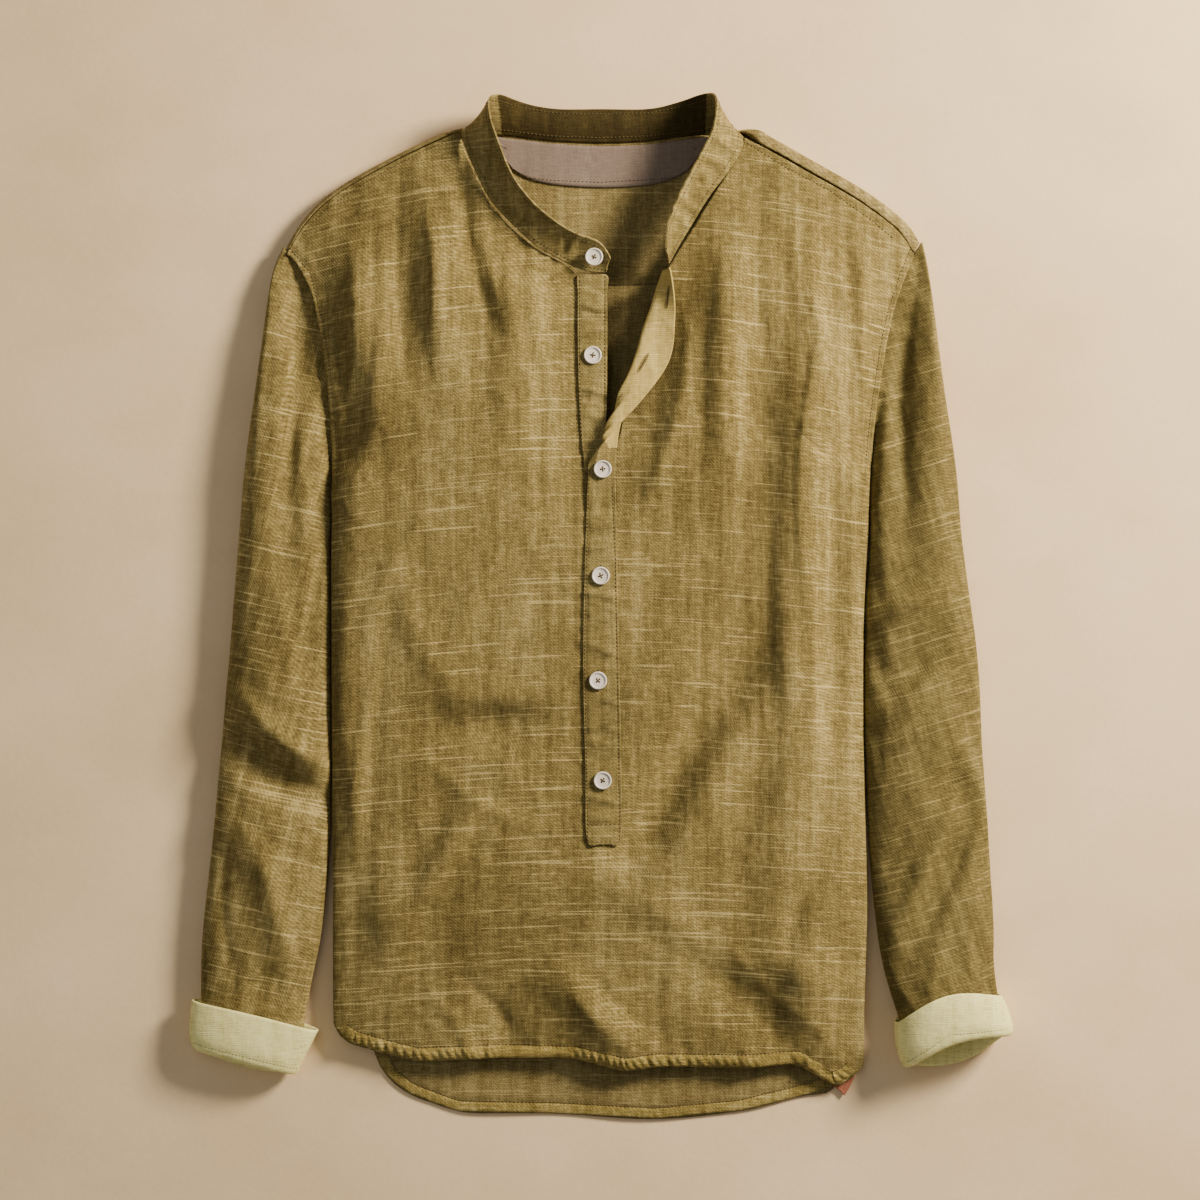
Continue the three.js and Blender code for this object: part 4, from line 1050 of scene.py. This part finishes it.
# The flap shows the cloth's other side; the collar band's inside at the back neck gets a painted shade
WRONG_SIDES_AND_PAINTED_SHADE = {
    "placket_over": WrongSideOrPaintedShade(
        "linen_flap_underside", 122, 260,
        ((122, 6.5), (131, 1.2), (140, 4), (171, 16), (198, 25), (228, 35.5), (256, 46)),
    ),
    "collar_band": WrongSideOrPaintedShade("linen_band_inside", 352, 400, ((352, -74), (400, -79)), 80),
}

HEMS = (
    Hem("front_panel", FRONT_HEM, 9.5, 2.0, 0.72, 6.4),
    Hem("back_panel", BACK_HEM, 7.5, 0.9, 0.35, 11.0, 0.4),
)

# Linen is dull, so its roughness is near 0.9, with a soft sheen from its fine hairs. The dark, middle
# and light colours are those of its yarns, darkened as painted shade or lightened as painted highlight
# where a finish below says so, and a slub is always of the light one.
FINISHES = (
    # Slubbed olive linen of the front: a worn, streaky green brown with pale slubs that fall to the sides
    Finish("linen", "4c401c", "7c6e3f", "b6a66e", bow=1.0),
    # The same cloth with its grain turned down each sleeve; the right one is drawn darker, a painted shade
    Finish("linen_left_sleeve", "4c401c", "7c6e3f", "b6a66e", turn=13),
    Finish("linen_right_sleeve", "453b1a", "6a5f35", "988a57", turn=-17),
    # Collar band and strips: two layers pressed hard, so plainer, darker and with fewer slubs
    Finish("linen_band", "564923", "7e7142", "b0a16c", slub=0.6),
    # Yoke and back: the same linen where it is less worn
    Finish("linen_inside", "554923", "7f7145", "ae9f6b", slub=0.6),
    # Inside of the band at the back neck: painted shade, the same linen drawn near black where the band
    # stands over it
    Finish("linen_band_inside", "2b230c", "3f3517", "584b26", slub=0.5),
    # Turned and cut edges: drawn pale as a painted highlight, so that every seam and strip has a fine light
    # line
    Finish("linen_edge", "95834d", "c4b07a", "e6d6a6", slub=0.3, sheen=0.35),
    # Roped hem: the whole roll drawn a little lighter than the cloth beside it
    Finish("linen_hem", "53461f", "86773f", "bfaf74", slub=0.5),
    # Underside of the turned flap: the cloth's other side, straw coloured and plainer in its weave
    Finish("linen_flap_underside", "968249", "bca863", "dcc884", slub=0.6, sheen=0.15, face=Side.WRONG),
    # Underside of the cuffs: a pale cream green that stands out from the sleeve
    Finish("linen_cuff_underside", "cbc47e", "f3efa3", "fffdc0", slub=0.5, sheen=0.15, face=Side.WRONG),
    # Plain cotton facing inside the neck: smooth, grey mauve and hardly textured
    Finish("facing_cloth", "6f6258", "827367", "938577", roughness=0.8, slub=0.1, bump=0.35),
    # Brushed cotton of the gusset: a small terracotta spot at the side seam
    Finish("gusset_cotton", "8d5541", "a96a52", "c48a6e", slub=0.3),
)

PANELS = (
    # Most pieces give their edges the pale painted highlight look
    Panel("front_panel", "linen", (0.48, 0.74), 0.298, finer=True, edge="linen_edge"),
    Panel("back_panel", "linen_inside", (0.44, 0.65), 0.24, crumple=0.0, creased=0.0, edge="linen_edge"),
    Panel("yoke", "linen_inside", (0.51, 0.14), 0.054, crumple=0.3, creased=0.4, edge="linen_edge"),
    Panel("neck_facing", "facing_cloth", (0.18, 0.04), 0.0047, crumple=0.0, creased=0.0),
    Panel("collar_band", "linen_band", (0.52, 0.032), 0.0145, creased=0.9, levels=3, edge="linen_edge"),
    Panel("placket_over", "linen_band", (0.036, 0.45), 0.0122, levels=3, edge="linen_edge"),
    Panel("placket_under", "linen_band", (0.027, 0.156), 0.0034, levels=4, edge="linen_edge"),
    Panel("sleeve_left", "linen_left_sleeve", (0.21, 0.62), 0.098, finer=True, edge="linen_edge"),
    # The right sleeve's darker look is painted shade
    Panel("sleeve_right", "linen_right_sleeve", (0.21, 0.62), 0.098, finer=True, edge="linen_edge"),
    Panel(
        "cuff_left", "linen_cuff_underside", (0.22, 0.06), 0.0115, held="folded", crumple=0.5, creased=0.6,
    ),
    Panel(
        "cuff_right", "linen_cuff_underside", (0.24, 0.06), 0.0125, held="folded", crumple=0.5, creased=0.6,
    ),
    Panel("gusset_right", "gusset_cotton", (0.016, 0.016), 0.00012, crumple=0.0, creased=0.0),
)


def shift_line(line: tuple[tuple[float, float], ...], aside: float) -> list[tuple[float, float]]:
    """Moves a line in plan to its left.

    Args:
        line: Points in millimetres.
        aside: Distance in millimetres.

    Returns:
        The moved points.
    """
    points = np.array(line, float)
    direction = np.gradient(points, axis=0)
    direction /= np.linalg.norm(direction, axis=1)[:, None]
    return [(x - aside * dy, y + aside * dx) for (x, y), (dx, dy) in zip(points, direction)]


UNEVEN = (0.8, 1.12)  # least and greatest share of a stitch's length
STITCH_SHARE = 0.78  # length of a stitch as a share of the pitch


def stitch_group() -> bpy.types.GeometryNodeTree:
    """Makes the node group that lays stitches along lines.

    Returns:
        The group, with inputs Pitch, Length, Radius and Thread.
    """
    group = bpy.data.node_groups.new("stitches", "GeometryNodeTree")
    face = group.interface
    face.new_socket("Lines", in_out="INPUT", socket_type="NodeSocketGeometry")
    for name in ("Pitch", "Length", "Radius"):
        face.new_socket(name, in_out="INPUT", socket_type="NodeSocketFloat")
    face.new_socket("Thread", in_out="INPUT", socket_type="NodeSocketMaterial")
    face.new_socket("Stitches", in_out="OUTPUT", socket_type="NodeSocketGeometry")
    add, link = group.nodes.new, group.links.new
    start, end = add("NodeGroupInput"), add("NodeGroupOutput")
    curve = add("GeometryNodeMeshToCurve")
    link(start.outputs["Lines"], curve.inputs["Mesh"])
    spaced = add("GeometryNodeResampleCurve")
    spaced.mode = "LENGTH"
    link(curve.outputs[0], spaced.inputs["Curve"])
    link(start.outputs["Pitch"], spaced.inputs["Length"])
    tangent = add("GeometryNodeInputTangent")
    turn = add("FunctionNodeAlignRotationToVector")
    turn.axis = "X"
    link(tangent.outputs[0], turn.inputs["Vector"])
    stitch = add("GeometryNodeMeshUVSphere")
    stitch.inputs["Segments"].default_value = 6
    stitch.inputs["Rings"].default_value = 4
    stitch.inputs["Radius"].default_value = 0.5
    shape = add("ShaderNodeCombineXYZ")
    double = add("ShaderNodeMath")
    double.operation = "MULTIPLY"
    double.inputs[1].default_value = 2.0
    link(start.outputs["Radius"], double.inputs[0])
    uneven = add("FunctionNodeRandomValue")
    uneven.data_type = "FLOAT"
    uneven.inputs["Seed"].default_value = 4
    limits = [s for s in uneven.inputs if s.type == "VALUE" and s.name in ("Min", "Max")]
    for socket, value in zip(limits, UNEVEN):
        socket.default_value = value
    long = add("ShaderNodeMath")
    long.operation = "MULTIPLY"
    link(start.outputs["Length"], long.inputs[0])
    link([s for s in uneven.outputs if s.type == "VALUE"][0], long.inputs[1])
    link(long.outputs[0], shape.inputs[0])
    link(double.outputs[0], shape.inputs[1])
    link(double.outputs[0], shape.inputs[2])
    place = add("GeometryNodeInstanceOnPoints")
    link(spaced.outputs[0], place.inputs["Points"])
    link(stitch.outputs["Mesh"], place.inputs["Instance"])
    link(turn.outputs[0], place.inputs["Rotation"])
    link(shape.outputs[0], place.inputs["Scale"])
    real = add("GeometryNodeRealizeInstances")
    link(place.outputs[0], real.inputs[0])
    paint = add("GeometryNodeSetMaterial")
    link(real.outputs[0], paint.inputs["Geometry"])
    link(start.outputs["Thread"], paint.inputs["Material"])
    link(paint.outputs[0], end.inputs[0])
    return group


# Every row of topstitching, in plan
RUNS = (
    Run("hem_front", ("front_panel",), tuple(shift_line(FRONT_HEM, 10.6))),
    Run("hem_back", ("back_panel",), tuple(shift_line(BACK_HEM, 8.6))),
    Run("strip_right", ("placket_over",), ((9, 92), (11.2, 37), (12.6, -38), (14, -114), (14.4, -174))),
    Run(
        "strip_left", ("placket_over",),
        ((-8.4, 104), (-10.4, 37), (-12, -38), (-10.4, -114), (-9.6, -174)),
    ),
    Run("box_foot", ("placket_over",), ((-9, -175.6), (13.6, -175.6))),
    Run("box_head", ("placket_over",), ((-9.4, -162.5), (14, -162.5))),
    Run("under_left", ("placket_under",), ((-13, 108), (-15, 150), (-15.8, 200), (-15.8, 252))),
    Run("under_right", ("placket_under",), ((3.2, 150), (3.4, 200), (3.4, 252))),
    Run("front_left_edge", ("front_panel",), ((-17.5, 132), (-20, 190), (-20, 250))),
    Run("yoke_back_1", ("yoke",), tuple((x, 262) for x in (-60, 0, 60))),
    Run(
        "shoulder_left", ("front_panel",),
        ((-112, 357), (-134, 348), (-161, 334), (-190, 317), (-211, 302), (-226, 286)),
    ),
    Run("shoulder_right", ("front_panel",), ((112, 353), (139, 336), (174, 318), (204, 297), (221, 283))),
    Run("armhole_left", ("front_panel",), tuple(shift_line(ARMHOLE_LEFT, -4))),
    Run("armhole_right", ("front_panel",), tuple(shift_line(ARMHOLE_RIGHT, 4))),
    Run("cuff_left_foot", ("cuff_left",), ((-308, -329), (-270, -338), (-231, -348.5)), 2.6, 0.2),
    Run("cuff_right_foot", ("cuff_right",), ((232, -341), (262, -319), (306, -316)), 2.6, 0.2),
    Run("facing_edge", ("neck_facing",), ((-64, 331), (-38, 328), (0, 326.4), (38, 328.4), (66, 331))),
)

# Collar stations, from the left front end round the back: seam and free edge, x y z of each
COLLAR = (
    (4, 256, 19, 7.5, 267, 27), (-12, 257, 19, -2, 278, 30), (-31, 265.5, 20, -20, 284.5, 33),
    (-51, 277.5, 21, -38, 295.5, 36), (-71, 296, 22, -54.5, 310.5, 39), (-85, 312.5, 23, -67, 328, 41),
    (-95, 332.5, 24, -76.5, 351, 43), (-103, 352, 24, -82.5, 369, 44), (-105, 363, 17, -83.5, 384, 40),
    (-96, 363.5, 7, -75, 388.5, 28), (-72, 362.5, 3, -58, 385, 14), (-38, 358.5, 2.6, -34, 381.5, 8),
    (0, 357, 2.6, 0, 381.5, 7), (38, 358.5, 2.6, 36, 381.5, 8), (74, 362.5, 3, 60, 386, 14),
    (98.5, 360.5, 7.5, 78, 389.5, 28), (107.5, 359, 17, 86.5, 385, 40), (106, 347, 24, 84.5, 363, 44),
    (96, 331, 24, 77, 346, 44), (81.5, 312, 23, 66.5, 326.5, 43), (69, 292, 22, 57, 307, 43),
    (59, 275.5, 21, 50.5, 289, 42), (51.5, 262.5, 20, 49, 270, 41),
)
COLLAR_ROWS = (0.13, 0.86)  # shares of the band's height where it is topstitched


@dataclass(frozen=True)
class Buttonhole:
    """A worked buttonhole: its place, direction and sizes in millimetres."""

    x: float
    y: float
    turn: float  # degrees from +X
    on: str = "placket_over"
    half: float = 8.2
    wide: float = 1.05
    points: int = 60
    pitch: float = 0.75
    thread: float = 0.34


BUTTONHOLES = (
    Buttonhole(50.5, 235, 84),
    Buttonhole(32, 186, 60),
    Buttonhole(0.2, 25.5, 90),
    Buttonhole(-2, -53.5, 90),
    Buttonhole(1.6, -129, 90),
)
SLIT = ((-7.2, 0.0), (-5, 0.38), (5, 0.38), (7.2, 0.0), (5, -0.38), (-5, -0.38))


@dataclass
class Sewing:
    """All topstitching, laid on the dressed pieces by one node group."""

    surface: Surface
    group: bpy.types.GeometryNodeTree
    thread: bpy.types.Material
    step: float = 2.0  # millimetres between the places where a row is dropped onto the cloth
    gap: float = 8.0  # a longer step in millimetres is a break in the row
    made: list[bpy.types.Object] = field(default_factory=list)

    def lay(self, run: Run) -> None:
        """Lays one row of stitches.

        Args:
            run: The row.
        """
        points = np.array(run.line, float)
        places = distances(points)
        count = max(3, int(places[-1] / self.step))
        at = np.linspace(0, places[-1], count)
        xs, ys = (np.interp(at, places, points[:, k]) for k in (0, 1))
        spots = []
        for x, y in zip(xs, ys):
            found = self.surface.drop(x * MM, y * MM, run.on)
            if found is not None:
                spots.append(found[0] + found[1] * run.thread * 0.35 * MM)
        self.string(run.name, spots, run.pitch, run.thread)

    def string(self, name: str, spots: list[Vector], pitch: float, thread: float) -> None:
        """Makes the stitches of one line of points.

        Args:
            name: Name of the piece.
            spots: Points in metres.
            pitch: Stitch pitch in millimetres.
            thread: Thread radius in millimetres.
        """
        mesh = bpy.data.meshes.new(name)
        near = [i for i in range(len(spots) - 1) if (spots[i + 1] - spots[i]).length < self.gap * MM]
        mesh.from_pydata(spots, [(i, i + 1) for i in near], [])
        piece = put(name, mesh)
        modifier = piece.modifiers.new("stitches", "NODES")
        modifier.node_group = self.group
        sizes = {
            "Pitch": pitch * MM, "Length": STITCH_SHARE * pitch * MM, "Radius": thread * MM,
            "Thread": self.thread,
        }
        for item in self.group.interface.items_tree:
            if item.in_out == "INPUT" and item.name in sizes:
                modifier[item.identifier] = sizes[item.name]
        depsgraph = bpy.context.evaluated_depsgraph_get()
        piece.data = bpy.data.meshes.new_from_object(piece.evaluated_get(depsgraph))
        piece.modifiers.clear()
        self.made.append(piece)

    def join(self, name: str) -> bpy.types.Object:
        """Joins what was laid into one piece that rides on the shirt.

        Args:
            name: Name of the joined piece.

        Returns:
            The joined object.
        """
        form = bmesh.new()
        for piece in self.made:
            form.from_mesh(piece.data)
            bpy.data.objects.remove(piece)
        mesh = bpy.data.meshes.new(name)
        form.to_mesh(mesh)
        form.free()
        mesh.materials.append(self.thread)
        mesh.polygons.foreach_set("use_smooth", [True] * len(mesh.polygons))
        whole = put(name, mesh)
        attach(whole, ROOT)
        self.made = []
        return whole

    def lay_collar(self) -> None:
        """Lays the two rows of topstitching round the collar band."""
        stations = np.array(COLLAR, float)
        for share in COLLAR_ROWS:
            rows = stations[:, :3] * (1 - share) + stations[:, 3:] * share
            places = np.linspace(0, len(rows) - 1, 320)
            xs, ys = (np.interp(places, range(len(rows)), rows[:, k]) for k in (0, 1))
            spots = []
            for x, y in zip(xs, ys):
                found = self.surface.drop(x * MM, y * MM, ("collar_band",))
                if found is not None:
                    spots.append(found[0] + found[1] * 0.1 * MM)
            self.string(f"collar_{share}", spots, 3.0, 0.36)

    def work_buttonhole(self, hole: Buttonhole, slit: bpy.types.Material) -> None:
        """Works a buttonhole: a dense oval of stitches round a dark slit.

        Args:
            hole: Its place, direction and sizes.
            slit: Material of the cut.
        """
        middle = Vector((hole.x, hole.y))
        turn = math.radians(hole.turn)
        direction = Vector((math.cos(turn), math.sin(turn)))
        across = Vector((-direction.y, direction.x))
        spots = []
        for k in range(hole.points + 1):
            t = 2 * math.pi * k / hole.points
            along = hole.half * math.copysign(abs(math.cos(t)) ** 0.6, math.cos(t))
            place = middle + direction * along + across * hole.wide * math.sin(t)
            found = self.surface.drop(place.x * MM, place.y * MM, (hole.on,))
            if found is not None:
                spots.append(found[0] + found[1] * 0.12 * MM)
        self.string("hole", spots, hole.pitch, hole.thread)
        corners = []
        for along, side in SLIT:
            place = middle + direction * along + across * side
            found = self.surface.drop(place.x * MM, place.y * MM, (hole.on,))
            if found is not None:
                corners.append(found[0] + found[1] * 0.16 * MM)
        if len(corners) < 5:
            return
        mesh = bpy.data.meshes.new("slit")
        mesh.from_pydata(corners, [], [tuple(range(len(corners)))])
        mesh.materials.append(slit)
        piece = put(f"slit_{int(hole.x)}_{int(hole.y)}".replace("-", "m"), mesh)
        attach(piece, ROOT)
        LOG.info("%s: cut", piece.name)


@dataclass(frozen=True)
class Button:
    """A sew-through shirt button with a rolled rim, a dish and four holes, in millimetres."""

    number: int  # from the collar down
    radius: float = 6.8
    rim: float = 1.5
    rim_height: float = 2.1
    dish_height: float = 1.15
    hole: float = 0.72
    hole_place: float = 1.5
    around: int = 48
    thread_half: float = 1.75
    thread_radius: float = 0.24
    thread_aside: float = 0.22

    def profile(self) -> list[tuple[float, float]]:
        """Gives the profile that is turned, from the underside's middle to the dish's.

        Returns:
            Radius and height of each point.
        """
        outer, inner = self.radius, self.radius - self.rim
        points = [(0.0, 0.0), (outer - 0.6, 0.0), (outer - 0.15, 0.35), (outer, 0.9)]
        middle, half = outer - self.rim / 2, self.rim / 2
        for k in range(1, 7):
            turn = math.pi * k / 7
            height = 1.1 + (self.rim_height - 1.1) * math.sin(turn) ** 0.8
            points.append((middle + half * math.cos(turn), height))
        dish = self.dish_height
        return [*points, (inner - 0.15, dish + 0.1), (inner - 0.6, dish), (0.0, dish - 0.1)]

    def blank(self, name: str) -> bpy.types.Mesh:
        """Turns the button without its holes.

        Args:
            name: Name of the mesh.

        Returns:
            The mesh, centred on the origin with its underside at 0.
        """
        work = bmesh.new()
        turns = [2 * math.pi * k / self.around for k in range(self.around)]
        rings = []
        for radius, z in self.profile():
            if radius == 0:
                rings.append([work.verts.new((0, 0, z * MM))])
                continue
            ring = [(radius * math.cos(t) * MM, radius * math.sin(t) * MM, z * MM) for t in turns]
            rings.append([work.verts.new(place) for place in ring])
        for low, high in zip(rings, rings[1:]):
            for k in range(self.around):
                n = (k + 1) % self.around
                corners = [low[k % len(low)], low[n % len(low)], high[n % len(high)], high[k % len(high)]]
                work.faces.new(list(dict.fromkeys(corners)))
        bmesh.ops.recalc_face_normals(work, faces=work.faces)
        mesh = bpy.data.meshes.new(name)
        work.to_mesh(mesh)
        work.free()
        return mesh

    def holes(self) -> bpy.types.Mesh:
        """Makes the four rods that cut the holes.

        Returns:
            One mesh of four cylinders.
        """
        work = bmesh.new()
        for k in range(4):
            turn = math.pi / 4 + k * math.pi / 2
            x, y = self.hole_place * math.cos(turn), self.hole_place * math.sin(turn)
            bmesh.ops.create_cone(
                work, cap_ends=True, segments=14, radius1=self.hole * MM, radius2=self.hole * MM,
                depth=4 * MM, matrix=Matrix.Translation((x * MM, y * MM, 0.8 * MM)),
            )
        mesh = bpy.data.meshes.new("holes")
        work.to_mesh(mesh)
        work.free()
        return mesh

    def drilled(self, name: str) -> bpy.types.Mesh:
        """Cuts the holes into the blank.

        Args:
            name: Name of the mesh.

        Returns:
            The mesh, centred on the origin with its underside at 0.
        """
        blank = put(name, self.blank(name))
        cutter = put(name + "_holes", self.holes())
        cut = blank.modifiers.new("holes", "BOOLEAN")
        cut.object = cutter
        cut.operation = "DIFFERENCE"
        cut.solver = "EXACT"
        depsgraph = bpy.context.evaluated_depsgraph_get()
        done = bpy.data.meshes.new_from_object(blank.evaluated_get(depsgraph))
        bpy.data.objects.remove(cutter)
        bpy.data.objects.remove(blank)
        return done

    def cross(self, name: str) -> bpy.types.Mesh:
        """Makes the four strands of thread that cross between the holes.

        Args:
            name: Name of the mesh.

        Returns:
            The mesh, centred as the button is.
        """
        work = bmesh.new()
        for turn, lift in ((45, 1.25), (135, 1.5)):
            for aside in (-self.thread_aside, self.thread_aside):
                strand = Matrix.Rotation(math.radians(turn), 4, "Z")
                strand = strand @ Matrix.Translation((0, aside * MM, lift * MM))
                thin = self.thread_radius * MM
                strand = strand @ Matrix.Diagonal((self.thread_half * MM, thin, thin, 1))
                bmesh.ops.create_uvsphere(work, u_segments=8, v_segments=6, radius=1.0, matrix=strand)
        mesh = bpy.data.meshes.new(name)
        work.to_mesh(mesh)
        work.free()
        return mesh

    def sew_on(self, resin: bpy.types.Material, thread: bpy.types.Material) -> None:
        """Puts the button and its thread where its solid is.

        Args:
            resin: The button's material.
            thread: The thread's material.
        """
        node = f"button_{self.number}"
        low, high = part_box(node)
        mesh = self.drilled("sewn_" + node)
        centre = Vector(((low.x + high.x) / 2, (low.y + high.y) / 2, low.z))
        spin = Matrix.Rotation(math.radians(17 * self.number), 4, "Z")
        mesh.transform(Matrix.Translation(centre) @ spin)
        mesh.polygons.foreach_set("use_smooth", [True] * len(mesh.polygons))
        mesh.materials.clear()
        mesh.materials.append(resin)
        mesh.set_sharp_from_angle(angle=math.radians(38))
        piece = put("sewn_" + node, mesh)
        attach(piece, ROOT)
        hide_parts(node)
        cross = self.cross("thread_" + node)
        cross.transform(Matrix.Translation(centre) @ spin)
        cross.materials.append(thread)
        sewn = put("thread_" + node, cross)
        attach(sewn, ROOT)
        LOG.info("%s: sewn on", node)


@dataclass(frozen=True)
class Studio:
    """Pale plaster floor, soft light from the right and a camera straight above, in metres."""

    half: float = 2.4  # of the floor's side
    below: float = 0.0004  # how far the floor is under the shirt
    camera_height: float = 2.2
    frame_width: float = 0.912
    centre: tuple[float, float] = (-0.0005, 0.0072)
    cloth_height: float = 0.015
    world: float = 0.22

    def build(self) -> None:
        """Adds the floor, the lights and the camera."""
        mesh = bpy.data.meshes.new("floor")
        half, z = self.half, -self.below
        corners = [(-half, -half, z), (half, -half, z), (half, half, z), (-half, half, z)]
        mesh.from_pydata(corners, [], [(0, 1, 2, 3)])
        mesh.materials.append(self.plaster())
        put("floor", mesh)
        self.add_light("key", (1.45, 0.95, 0.98), 0.5, 98.0, "ffeed8")
        self.add_light("fill", (-0.6, 0.5, 2.2), 1.6, 7.0, "f3f0ea")
        world = bpy.data.worlds.new("studio")
        world.use_nodes = True
        sky = world.node_tree.nodes["Background"]
        sky.inputs["Color"].default_value = linear("f6efe6")
        sky.inputs["Strength"].default_value = self.world
        bpy.context.scene.world = world
        lens = bpy.data.cameras.new("camera")
        lens.sensor_width = 36
        lens.lens = 36 * self.camera_height / self.frame_width
        camera = put("camera", lens)
        camera.location = (*self.centre, self.camera_height + self.cloth_height)
        bpy.context.scene.camera = camera
        LOG.info("studio: floor, two lights and camera")

    @staticmethod
    def plaster() -> bpy.types.Material:
        """Makes the floor's pale plaster: matt, warm and faintly mottled, so that the shirt stands out.

        Returns:
            The material.
        """
        material = bpy.data.materials.new("pale_plaster")
        material.use_nodes = True
        nodes = NodeTree(material.node_tree)
        shader = nodes.tree.nodes["Principled BSDF"]
        shader.inputs["Roughness"].default_value = 0.92
        place = nodes.add("ShaderNodeTexCoord")
        patch = nodes.streaks(place.outputs["Object"], (7, 9), 4.0, 4)
        grain = nodes.streaks(place.outputs["Object"], (260, 260), 9.0, 2)
        tone = nodes.math("ADD", nodes.math("MULTIPLY", patch, 0.8), nodes.math("MULTIPLY", grain, 0.2))
        nodes.link(nodes.ramp(tone, ((0.3, "e6ca9f"), (0.7, "f5ddb5"))), shader.inputs["Base Color"])
        bump = nodes.add("ShaderNodeBump", Strength=0.25, Distance=0.002)
        nodes.link(tone, bump.inputs["Height"])
        nodes.link(bump.outputs[0], shader.inputs["Normal"])
        return material

    @staticmethod
    def add_light(
        name: str, place: tuple[float, float, float], size: float, power: float, colour: str,
    ) -> None:
        """Adds a square area light that faces the shirt.

        Args:
            name: Its name.
            place: Where it is.
            size: Side of the square.
            power: Power in watts.
            colour: Hex colour.
        """
        light = bpy.data.lights.new(name, "AREA")
        light.size = size
        light.energy = power
        light.color = linear(colour)[:3]
        lamp = put(name, light)
        lamp.location = place
        lamp.rotation_euler = (-Vector(place)).to_track_quat("-Z", "Y").to_euler()


def main() -> None:
    """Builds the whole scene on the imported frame."""
    logging.basicConfig(level=logging.INFO)
    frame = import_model()
    looks = {f.name: cloth_material(f) for f in FINISHES}
    # Spun polyester thread, matt: drawn darker than the linen as painted shade of the sunk stitch
    # lines, so that each row reads as a fine line
    thread = plain_material("sewing_thread", "5c4f27", 0.7, 0.3)
    # Moulded resin with a soft polish: milky white, so that the buttons are what the eye finds first
    resin = plain_material("button_resin", "ece5da", 0.32, 0.35)
    # The shaded inside of a cut buttonhole: a dark line in the flap
    dark = plain_material("slit_shadow", "2a200c", 0.9)
    shirt = Shirt(frame, PANELS, looks)
    shirt.build()
    sewing = Sewing(Surface(shirt.pieces), stitch_group(), thread)
    for run in RUNS:
        sewing.lay(run)
    sewing.lay_collar()
    for hole in BUTTONHOLES:
        sewing.work_buttonhole(hole, dark)
    stitches = sewing.join("topstitching")
    LOG.info("topstitching: %d faces", len(stitches.data.polygons))
    for number in range(1, 7):
        Button(number).sew_on(resin, thread)
    Studio().build()


if __name__ == "__main__":
    main()
